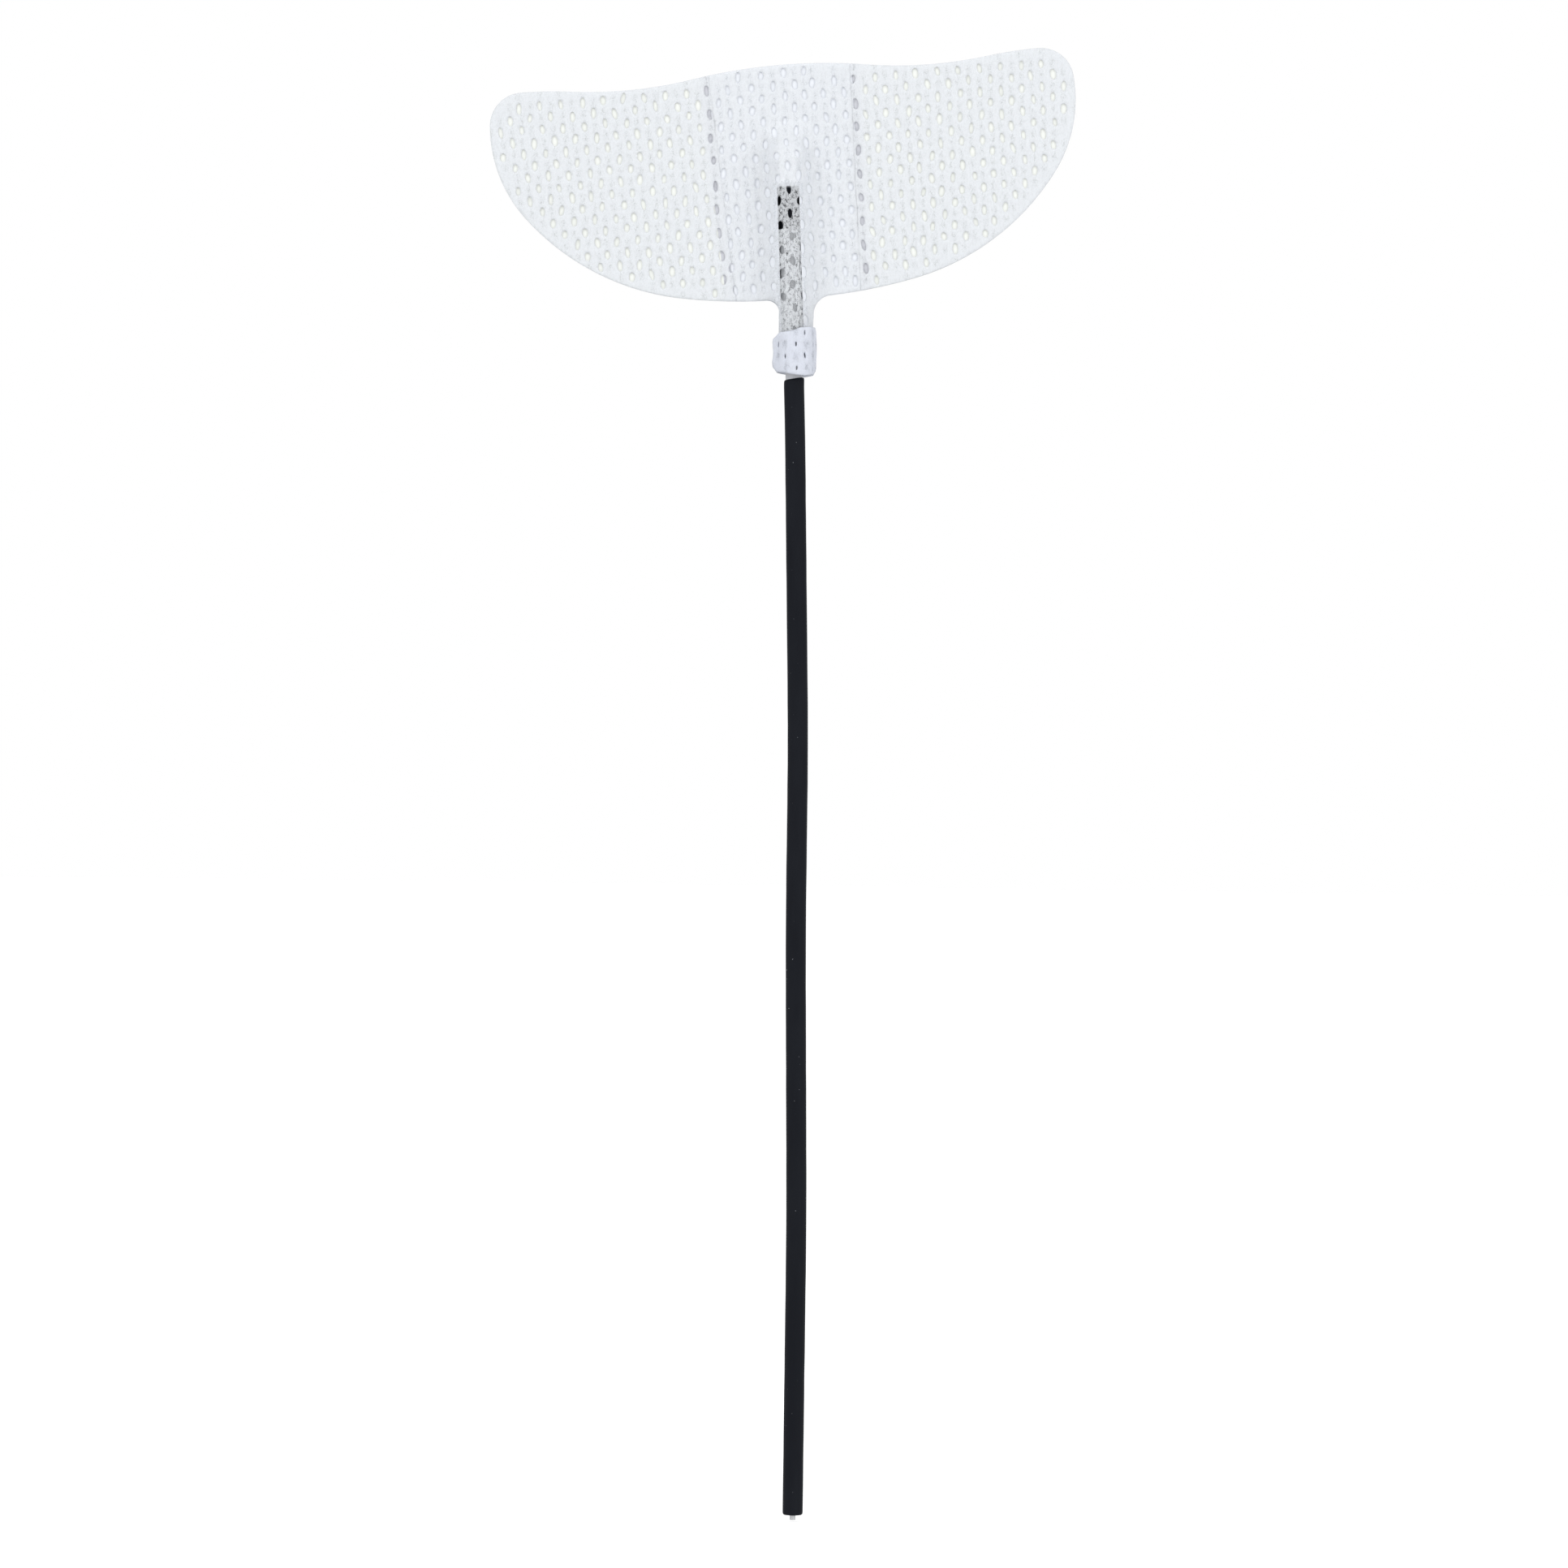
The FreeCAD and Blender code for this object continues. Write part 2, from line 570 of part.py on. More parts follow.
def check(nodes):
    """Stops at a failed object, an empty or broken shape, or a node of several solids."""
    failed = [item.Name for item in doc.Objects if {"Invalid", "Error"} & set(item.State)]
    if failed:
        raise RuntimeError(f"failed: {failed}")
    for node in nodes:
        if node.Shape.isNull() or not node.Shape.isValid():
            raise RuntimeError(f"{node.Name} has no valid shape")
        if len(node.Shape.Solids) != 1:
            raise RuntimeError(f"{node.Name} has {len(node.Shape.Solids)} solids")


def main():
    """Builds every sub-part and writes one file for each."""
    make_sheet()
    outline = head_outline()
    nodes = build_stem(stem_course())
    nodes += build_head(outline)
    nodes.append(build_band())
    doc.recompute()
    check(nodes)
    os.makedirs("parts", exist_ok=True)
    for node in nodes:
        node.Label = node.Name
        node.Shape.exportStep(f"parts/{node.Label}.step")
        box = node.Shape.BoundBox
        print(f"{node.Label}: volume {node.Shape.Volume:.2f}, "
              f"x {box.XMin:.2f} {box.XMax:.2f}, y {box.YMin:.2f} {box.YMax:.2f}, "
              f"z {box.ZMin:.2f} {box.ZMax:.2f}")


main()
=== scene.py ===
"""A sticky cloth insect trap on a wire stem, dressed for show around its CAD frame.

The head is apertured nonwoven cloth with real holes, cut from one flat pattern and laid
over the stem. Lengths inside the classes are in millimetres, and meshes are in metres.
"""

import json
import logging
import math
from contextlib import contextmanager
from dataclasses import dataclass, field
from enum import Enum
from typing import Callable, Iterable, Iterator

import bpy
import numpy as np
from mathutils import Matrix, Vector
from mathutils.bvhtree import BVHTree
from mathutils.geometry import delaunay_2d_cdt


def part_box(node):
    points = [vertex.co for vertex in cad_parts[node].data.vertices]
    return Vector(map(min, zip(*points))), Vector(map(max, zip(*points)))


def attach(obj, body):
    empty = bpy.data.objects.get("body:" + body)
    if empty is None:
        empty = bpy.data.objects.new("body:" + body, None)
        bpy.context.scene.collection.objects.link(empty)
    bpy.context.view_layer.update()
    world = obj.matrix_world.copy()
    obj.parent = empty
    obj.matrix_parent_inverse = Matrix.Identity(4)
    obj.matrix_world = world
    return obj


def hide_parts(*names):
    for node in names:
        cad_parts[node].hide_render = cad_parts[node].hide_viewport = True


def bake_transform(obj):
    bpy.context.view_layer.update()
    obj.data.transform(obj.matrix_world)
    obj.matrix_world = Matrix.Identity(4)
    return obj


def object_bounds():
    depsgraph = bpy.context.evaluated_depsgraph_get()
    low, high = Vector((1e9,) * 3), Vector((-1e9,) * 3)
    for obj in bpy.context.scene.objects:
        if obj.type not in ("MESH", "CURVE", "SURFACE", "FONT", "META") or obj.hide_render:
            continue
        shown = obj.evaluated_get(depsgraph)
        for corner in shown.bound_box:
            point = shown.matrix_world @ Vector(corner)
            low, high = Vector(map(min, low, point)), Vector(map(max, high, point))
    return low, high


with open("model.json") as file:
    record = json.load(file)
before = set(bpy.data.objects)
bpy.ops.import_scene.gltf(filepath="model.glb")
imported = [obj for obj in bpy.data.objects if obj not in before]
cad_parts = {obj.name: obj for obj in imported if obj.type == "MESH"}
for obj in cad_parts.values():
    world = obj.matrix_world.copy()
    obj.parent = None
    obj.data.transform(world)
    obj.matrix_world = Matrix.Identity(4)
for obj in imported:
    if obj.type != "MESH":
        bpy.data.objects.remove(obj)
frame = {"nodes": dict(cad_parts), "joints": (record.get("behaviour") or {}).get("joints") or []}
CAD_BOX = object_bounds()
MM = 0.001
SLEEVE_END = 0.5
log = logging.getLogger("insect_trap")


class Side(Enum):
    """The two wings; the value is the sign of their direction along the head."""

    LEFT = -1
    RIGHT = 1

    @property
    def word(self) -> str:
        """The side's name as the CAD nodes spell it."""
        return self.name.lower()


# ------------------------------------------------------------------ shader graphs


@dataclass
class Signal:
    """One output socket of a material, with arithmetic."""

    graph: "Graph"
    socket: bpy.types.NodeSocket

    def _math(self, operation: str, first: object, second: object) -> "Signal":
        """Adds one Math node."""
        return self.graph.node("ShaderNodeMath", {"operation": operation}, {0: first, 1: second})

    def __add__(self, other: object) -> "Signal":
        """The sum of two signals."""
        return self._math("ADD", self, other)

    def __sub__(self, other: object) -> "Signal":
        """The difference of two signals."""
        return self._math("SUBTRACT", self, other)

    def __rsub__(self, other: object) -> "Signal":
        """A number less this signal."""
        return self._math("SUBTRACT", other, self)

    def __mul__(self, other: object) -> "Signal":
        """The product of two signals."""
        return self._math("MULTIPLY", self, other)

    __radd__ = __add__
    __rmul__ = __mul__

    def above(self, low: float, high: float) -> "Signal":
        """A soft step from 0 at low to 1 at high.

        Args:
            low: where the step starts.
            high: where it ends.

        Returns:
            the step.
        """
        return self.graph.node(
            "ShaderNodeMapRange", {"interpolation_type": "SMOOTHSTEP"},
            {"Value": self, "From Min": low, "From Max": high})


@dataclass
class Graph:
    """A node material under construction, with one Principled shader."""

    name: str
    material: bpy.types.Material = field(init=False)
    shader: bpy.types.Node = field(init=False)

    def __post_init__(self) -> None:
        """Makes the empty material."""
        self.material = bpy.data.materials.new(self.name)
        self.material.use_nodes = True
        self.shader = self.material.node_tree.nodes["Principled BSDF"]

    def node(self, kind: str, settings: dict | None = None, inputs: dict | None = None,
             output: str | int = 0) -> Signal:
        """Adds any node.

        Args:
            kind: the node's type.
            settings: properties set before its sockets.
            inputs: values or signals by socket name or number.
            output: the output socket to return.

        Returns:
            The output socket as a signal.
        """
        made = self.material.node_tree.nodes.new(kind)
        for key, value in (settings or {}).items():
            setattr(made, key, value)
        for key, value in (inputs or {}).items():
            self.feed(made.inputs[key], value)
        return Signal(self, made.outputs[output])

    def feed(self, socket: bpy.types.NodeSocket, value: object) -> None:
        """Links a signal to a socket, or sets the socket's own value.

        Args:
            socket: the socket to fill.
            value: a signal, or a plain value.
        """
        if isinstance(value, Signal):
            self.material.node_tree.links.new(value.socket, socket)
        else:
            socket.default_value = value

    def set(self, **inputs: object) -> None:
        """Feeds the Principled shader; an underscore in a key stands for a space."""
        for key, value in inputs.items():
            self.feed(self.shader.inputs[key.replace("_", " ")], value)

    def place(self) -> Signal:
        """Object coordinates in millimetres.

        Returns:
            the coordinates.
        """
        spot = self.node("ShaderNodeTexCoord", output="Object")
        scaled = self.node("ShaderNodeVectorMath", {"operation": "SCALE"}, {0: spot, 3: 1 / MM})
        return scaled

    def noise(self, grain: float, detail: float = 2.0, where: Signal | None = None,
              roughness: float = 0.5) -> Signal:
        """Noise whose features are about grain millimetres across.

        Args:
            grain: the features' size in millimetres.
            detail: the number of finer layers.
            where: coordinates, or none for the object's own.
            roughness: how much the finer layers count.

        Returns:
            the noise.
        """
        return self.node("ShaderNodeTexNoise", {}, {
            "Vector": where or self.place(), "Scale": 1 / grain, "Detail": detail,
            "Roughness": roughness})

    def stretched(self, x: float, y: float, z: float) -> Signal:
        """Object coordinates in millimetres, squeezed by a factor along each axis."""
        return self.node("ShaderNodeVectorMath", {"operation": "MULTIPLY"},
                         {0: self.place(), 1: (x, y, z)})

    def mix(self, share: object, first: object, second: object) -> Signal:
        """A colour between two colours."""
        return self.node("ShaderNodeMix", {"data_type": "RGBA"},
                         {"Factor": share, 6: first, 7: second}, output=2)

    def bump(self, height: Signal, depth: float, strength: float = 1.0) -> Signal:
        """A normal from a height signal; depth is in millimetres."""
        return self.node("ShaderNodeBump", {}, {
            "Height": height, "Distance": depth * MM, "Strength": strength}, output="Normal")


def colour(red: float, green: float, blue: float) -> tuple[float, float, float, float]:
    """An opaque linear colour."""
    return (red, green, blue, 1.0)


# ------------------------------------------------------------------ finishes


@dataclass(frozen=True)
class ClothFinish:
    """White nonwoven cloth: matted fibres with pinholes that let a little through."""

    name: str = "nonwoven_cloth"
    light: tuple = colour(0.842, 0.866, 0.892)
    shade: tuple = colour(0.812, 0.838, 0.874)
    cover: float = 0.68
    worn_cover: float = 0.42
    thin_cover: float = 0.04

    def build(self) -> bpy.types.Material:
        """Makes the material; the mesh's thin attribute marks sparse spots.

        Returns:
            the material.
        """
        graph = Graph(self.name)
        through = graph.stretched(1.0, 0.0, 0.6)
        strands = graph.noise(0.38, 5.0, through, 0.62)
        felt = graph.noise(0.13, 3.0, graph.stretched(1.0, 0.0, 1.0))
        clouds = graph.noise(0.9, 2.0)
        thin = graph.node("ShaderNodeAttribute", {"attribute_name": "thin"}, output="Fac")
        pinholes = (strands * 0.6 + felt * 0.4).above(0.46, 0.60)
        cover = self.cover - thin * (self.cover - self.worn_cover)
        graph.set(
            Base_Color=graph.mix(strands.above(0.3, 0.7) * 0.45 + clouds * 0.45,
                                 self.shade, self.light),
            Alpha=cover - pinholes * (0.12 + thin * 0.88) * (cover - self.thin_cover),
            Roughness=0.92,
            Specular_IOR_Level=0.12,
            Sheen_Weight=0.05,
            Normal=graph.bump(strands * 0.6 + felt * 0.4, 0.03, 0.14),
        )
        return graph.material


@dataclass(frozen=True)
class FilmFinish:
    """A pressure-sensitive adhesive film, slightly tacky and uneven; the split strips use it as a
    grey sheet of painted shadow.
    """

    name: str
    tone: tuple
    dirt: tuple
    dust: float = 0.1

    def build(self) -> bpy.types.Material:
        """Makes the material.

        Returns:
            the material.
        """
        graph = Graph(self.name)
        # the grime and its darker colour are real dirt on the wing and centre films, and painted
        # shade on the split strips
        grime_and_shade = graph.noise(0.9, 4.0, None, 0.65).above(0.45, 0.75) * self.dust
        ripple = graph.noise(0.5, 2.0)
        graph.set(
            Base_Color=graph.mix(grime_and_shade, self.tone, self.dirt),
            Roughness=0.38 + graph.noise(0.7) * 0.25,
            Specular_IOR_Level=0.35,
            Normal=graph.bump(ripple, 0.03, 0.4),
        )
        return graph.material


@dataclass(frozen=True)
class PaperFinish:
    """Backing paper with a fine fibre grain and a light calendered sheen."""

    name: str
    tone: tuple
    grain_tone: tuple
    roughness: float = 0.55

    def build(self) -> bpy.types.Material:
        """Makes the material.

        Returns:
            the material.
        """
        graph = Graph(self.name)
        fibres = graph.noise(0.5, 6.0, graph.stretched(0.4, 1.0, 1.0), 0.7)
        mottle = graph.noise(3.0, 3.0)
        graph.set(
            Base_Color=graph.mix(fibres.above(0.35, 0.7) * 0.6 + mottle * 0.3,
                                 self.tone, self.grain_tone),
            Roughness=self.roughness + fibres * 0.15,
            Specular_IOR_Level=0.4,
            Normal=graph.bump(fibres * 0.6 + mottle * 0.4, 0.03, 0.5),
        )
        return graph.material


@dataclass(frozen=True)
class RubberFinish:
    """The stem's soft black coat, satin, with handling marks and a few specks of lint."""

    name: str = "black_coat"
    tone: tuple = colour(0.0066, 0.0076, 0.0108)
    worn: tuple = colour(0.0096, 0.0110, 0.0148)
    lint: tuple = colour(0.22, 0.23, 0.25)

    def build(self) -> bpy.types.Material:
        """Makes the material.

        Returns:
            the material.
        """
        graph = Graph(self.name)
        marks = graph.noise(5.0, 4.0, graph.stretched(1.0, 1.0, 0.25), 0.6)
        grain = graph.noise(0.16, 3.0)
        lint = graph.noise(0.42, 1.0).above(0.795, 0.83)
        coat = graph.mix(marks.above(0.35, 0.75), self.tone, self.worn)
        graph.set(
            Base_Color=graph.mix(lint, coat, self.lint),
            Roughness=0.52 + marks * 0.16 + lint * 0.2,
            Specular_IOR_Level=0.06,
            Normal=graph.bump(grain * 0.6 + marks * 0.4, 0.02, 0.5),
        )
        return graph.material


@dataclass(frozen=True)
class PlasticFinish:
    """A pale moulded or extruded plastic or rubber."""

    name: str
    tone: tuple
    cloud: tuple
    roughness: float = 0.5

    def build(self) -> bpy.types.Material:
        """Makes the material.

        Returns:
            the material.
        """
        graph = Graph(self.name)
        clouds = graph.noise(1.4, 3.0)
        grain = graph.noise(0.2, 2.0)
        graph.set(
            Base_Color=graph.mix(clouds, self.tone, self.cloud),
            Roughness=self.roughness + grain * 0.12,
            Normal=graph.bump(grain, 0.01, 0.4),
        )
        return graph.material


@dataclass(frozen=True)
class WireFinish:
    """Cut steel wire with fine drawing lines."""

    name: str = "steel_wire"
    tone: tuple = colour(0.62, 0.63, 0.64)
    dull: tuple = colour(0.42, 0.42, 0.43)

    def build(self) -> bpy.types.Material:
        """Makes the material.

        Returns:
            the material.
        """
        graph = Graph(self.name)
        lines = graph.noise(0.08, 3.0, graph.stretched(1.0, 1.0, 0.05))
        graph.set(
            Base_Color=graph.mix(lines, self.dull, self.tone),
            Metallic=0.9,
            Roughness=0.42 + lines * 0.2,
            Normal=graph.bump(lines, 0.01, 0.4),
        )
        return graph.material


class Palette:
    """Every finish of the object, built once."""

    def __init__(self) -> None:
        """Builds the materials."""
        cream = colour(0.780, 0.797, 0.762)
        self.cloth = ClothFinish().build()
        self.wrap = ClothFinish("wrap_cloth", cover=0.31, worn_cover=0.22).build()
        self.band = ClothFinish(
            "band_cloth", colour(0.71, 0.74, 0.81), colour(0.64, 0.67, 0.75), 0.90).build()
        self.wing_film = FilmFinish("wing_film", cream, colour(0.76, 0.775, 0.745)).build()
        self.centre_film = FilmFinish(
            "centre_film", colour(0.742, 0.767, 0.812), colour(0.70, 0.725, 0.765)).build()
        # painted shadow: a grey film standing in for the shaded gaps where the backing is split,
        # with darker painted shade in patches
        self.split_film = FilmFinish(
            "split_film", colour(0.53, 0.54, 0.58), colour(0.27, 0.28, 0.31), 0.6).build()
        self.strip = PaperFinish(
            "backing_strip_paper", colour(0.80, 0.835, 0.89), colour(0.75, 0.79, 0.86)).build()
        self.liner = PaperFinish(
            "liner_paper", colour(0.86, 0.845, 0.79), colour(0.82, 0.80, 0.74), 0.42).build()
        self.rubber = RubberFinish().build()
        self.tube = PlasticFinish(
            "pale_tube", colour(0.60, 0.61, 0.64), colour(0.52, 0.53, 0.56)).build()
        self.lure = PlasticFinish(
            "lure_rubber", colour(0.86, 0.87, 0.88), colour(0.80, 0.81, 0.83), 0.6).build()
        self.wire = WireFinish().build()


# ------------------------------------------------------------------ meshes


def dress(piece: bpy.types.Object, material: bpy.types.Material) -> None:
    """Gives a piece one material."""
    piece.data.materials.clear()
    piece.data.materials.append(material)


def mesh_piece(name: str, points: np.ndarray, faces: Iterable) -> bpy.types.Object:
    """Makes a smooth mesh object from points in millimetres.

    Args:
        name: the object's name.
        points: its corners.
        faces: the corner numbers of each face.

    Returns:
        the object.
    """
    mesh = bpy.data.meshes.new(name)
    mesh.from_pydata((points * MM).tolist(), [], [list(face) for face in faces])
    mesh.validate()
    piece = bpy.data.objects.new(name, mesh)
    bpy.context.scene.collection.objects.link(piece)
    mesh.shade_smooth()
    return piece


def choose(piece: bpy.types.Object) -> None:
    """Makes one object the only selected and active one.

    Args:
        piece: the object to select.
    """
    bpy.ops.object.select_all(action="DESELECT")
    piece.select_set(True)
    bpy.context.view_layer.objects.active = piece


@contextmanager
def editing(piece: bpy.types.Object, angle: float | None = None) -> Iterator[None]:
    """Edit mode on one piece, selected all over, that ends with its faces outwards.

    Args:
        piece: the piece to edit.
        angle: edges sharper than this many degrees are left sharp, if given.

    Yields:
        nothing; the edit is made inside the block.
    """
    choose(piece)
    bpy.ops.object.mode_set(mode="EDIT")
    bpy.ops.mesh.select_all(action="SELECT")
    yield
    bpy.ops.mesh.select_all(action="SELECT")
    bpy.ops.mesh.normals_make_consistent(inside=False)
    bpy.ops.object.mode_set(mode="OBJECT")
    if angle is not None:
        bpy.ops.object.shade_smooth_by_angle(angle=math.radians(angle))


def apply_modifiers(piece: bpy.types.Object) -> None:
    """Applies every modifier of a piece in order.

    Args:
        piece: the object whose modifiers are applied.
    """
    choose(piece)
    for modifier in list(piece.modifiers):
        bpy.ops.object.modifier_apply(modifier=modifier.name)


def inside(points: np.ndarray, outline: np.ndarray) -> np.ndarray:
    """Which 2-D points lie inside a closed outline.

    Args:
        points: the points.
        outline: the outline's corners in order.

    Returns:
        true for each point inside.
    """
    x, y = points[:, 0:1], points[:, 1:2]
    x0, y0 = outline[:, 0], outline[:, 1]
    x1, y1 = np.roll(x0, -1), np.roll(y0, -1)
    spans = (y0 > y) != (y1 > y)
    rise = np.where(y1 == y0, 1.0, y1 - y0)
    crosses = x < (x1 - x0) * (y - y0) / rise + x0
    return (np.sum(spans & crosses, axis=1) % 2) == 1


def edge_distance(points: np.ndarray, outline: np.ndarray) -> np.ndarray:
    """The distance of each 2-D point from a closed outline.

    Args:
        points: the points.
        outline: the outline's corners in order.

    Returns:
        a distance for each point.
    """
    step = np.roll(outline, -1, axis=0) - outline
    length = np.maximum((step ** 2).sum(1), 1e-12)
    best = np.full(len(points), np.inf)
    for first, along, size in zip(outline, step, length):
        offset = points - first
        share = np.clip(offset @ along / size, 0, 1)
        best = np.minimum(best, np.linalg.norm(offset - share[:, None] * along, axis=1))
    return best


@dataclass(frozen=True)
class Outline:
    """The head's die-cut shape about its own centre, as arcs between a few corners.

    The corners are shares of the half span and half height, as on the cutting die.
    """

    half_span: float
    half_height: float
    wing: tuple = ((0.3, 0.94), (0.711, 0.924), (0.886, 0.954), (1.0, 0.692),
                   (0.909, -0.131), (0.398, -0.948))
    armpit_out: float = 4.75
    armpit_share: float = -1.03
    neck_right: tuple = (1.95, 2.83)
    neck_left: tuple = (3.1, 2.03)
    neck_foot: tuple = (-3.9, 0.8, -28.15)
    step: float = 0.35
    rungs: int = 16

    def _run(self, side: Side, neck: tuple) -> list:
        """One half of the outline, from the top edge at the axis to the neck.

        Args:
            side: which half.
            neck: where the half ends at the neck.

        Returns:
            the half's points in order.
        """
        sign = side.value
        armpit = self.armpit_share * self.half_height
        corners = [(0.0, self.half_height)]
        corners += [(sign * out * self.half_span, up * self.half_height)
                    for out, up in self.wing]
        corners += [(sign * self.armpit_out, armpit), (sign * neck[0], armpit - neck[1])]
        heading = 0.0 if sign > 0 else math.pi
        points = [corners[0]]
        for start, end in zip(corners, corners[1:]):
            chord = math.atan2(end[1] - start[1], end[0] - start[0])
            turn = math.remainder(chord - heading, math.tau)
            length = math.dist(start, end)
            radius = length / (2 * math.sin(turn))
            count = max(3, math.ceil(length / self.step))
            for number in range(1, count + 1):
                bend = 2 * turn * number / count
                points.append((start[0] + radius * (math.sin(heading + bend) - math.sin(heading)),
                               start[1] - radius * (math.cos(heading + bend) - math.cos(heading))))
            heading += 2 * turn
        return points

    def points(self) -> np.ndarray:
        """The whole outline, clockwise from the top of the head's axis.

        Returns:
            the points in order.
        """
        left, right, foot = self.neck_foot
        down = self._run(Side.RIGHT, self.neck_right)
        up = self._run(Side.LEFT, self.neck_left)[::-1]
        side_run = np.linspace(down[-1], (right, foot), self.rungs)[1:]
        foot_run = np.linspace((right, foot), (left, foot), self.rungs)[1:]
        rise_run = np.linspace((left, foot), up[0], self.rungs)[1:-1]
        return np.array([*down, *side_run, *foot_run, *rise_run, *up[:-1]])


@dataclass
class Holes:
    """The cloth's staggered rows of small oval holes."""

    column: float = 1.52
    pitch: float = 3.5
    across: float = 0.41
    along: float = 0.76
    origin: tuple = (-0.26, -5.27)
    lean: tuple = (0.0, 0.0, 0.0)
    lean_reach: float = 4.0
    jitter: float = 0.1
    size_scatter: tuple = (0.8, 1.14)
    turn_scatter: float = math.radians(6)
    sparse_spread: tuple = (0.34, 0.62)
    margin: float = 0.95
    sides: int = 12
    seed: int = 5
    centres: np.ndarray = field(init=False)
    radii: np.ndarray = field(init=False)
    turns: np.ndarray = field(init=False)
    sparse: np.ndarray = field(init=False)

    def lay(self, outline: np.ndarray) -> None:
        """Places the holes that fit inside an outline, each a little different.

        Args:
            outline: the outline to fill.
        """
        rng = np.random.default_rng(self.seed)
        low, high = outline.min(0), outline.max(0)
        columns, rows = (
            range(math.floor((low[axis] - self.origin[axis]) / pitch) - 1,
                  math.ceil((high[axis] - self.origin[axis]) / pitch) + 2)
            for axis, pitch in enumerate((self.column, self.pitch)))
        sites = np.array([
            (self.origin[0] + column * self.column,
             self.origin[1] + (row + 0.5 * (column % 2)) * self.pitch)
            for column in columns for row in rows])
        sites = self.leaned(sites)
        between = sites + (0, self.pitch / 2)
        sites = sites + rng.normal(0, self.jitter, sites.shape)
        between = between + rng.normal(0, self.jitter, between.shape)
        radii = np.array([self.across, self.along]) * rng.uniform(*self.size_scatter, sites.shape)
        turns = rng.normal(0, self.turn_scatter, len(sites))
        fits = inside(sites, outline) & (edge_distance(sites, outline) > self.margin)
        self.centres, self.radii, self.turns = sites[fits], radii[fits], turns[fits]
        self.sparse = between[inside(between, outline)]

    def leaned(self, sites: np.ndarray) -> np.ndarray:
        """Leans the columns: all alike, more to one side, and more at the middle.

        Args:
            sites: the regular sites.

        Returns:
            the leaned sites.
        """
        u, v = sites[:, 0], sites[:, 1]
        steady, spread, middle = self.lean
        angle = steady + spread * u + middle * np.exp(-(u / self.lean_reach) ** 2)
        return np.stack([u + np.tan(np.radians(angle)) * (v - self.origin[1]), v], axis=1)

    def loops(self) -> list:
        """Each hole as a closed run of points.

        Returns:
            one run of points for each hole.
        """
        angles = np.arange(self.sides) * math.tau / self.sides
        ring = np.stack([np.cos(angles), np.sin(angles)], axis=1)
        loops = []
        for centre, radius, turn in zip(self.centres, self.radii, self.turns):
            spin = np.array([[math.cos(turn), math.sin(turn)],
                             [-math.sin(turn), math.cos(turn)]])
            loops.append(centre + (ring * radius) @ spin)
        return loops

    def reach(self, points: np.ndarray) -> np.ndarray:
        """How far each point is outside the nearest hole, in mm; negative inside.

        Args:
            points: the points to measure.

        Returns:
            a distance for each point.
        """
        best = np.full(len(points), np.inf)
        for centre, radius, turn in zip(self.centres, self.radii, self.turns):
            offset = points - centre
            spin = np.array([[math.cos(turn), -math.sin(turn)],
                             [math.sin(turn), math.cos(turn)]])
            share = np.linalg.norm(offset @ spin / radius, axis=1)
            best = np.minimum(best, (share - 1) * radius.mean())
        return best

    def thinness(self, points: np.ndarray) -> np.ndarray:
        """How sparse the fibres are: 1 in the middle of a spot between two holes.

        Args:
            points: the points to measure.

        Returns:
            a share from 0 to 1 for each point.
        """
        best = np.zeros(len(points))
        for centre in self.sparse:
            gap = (((points - centre) / self.sparse_spread) ** 2).sum(1)
            best = np.maximum(best, np.exp(-gap))
        return best


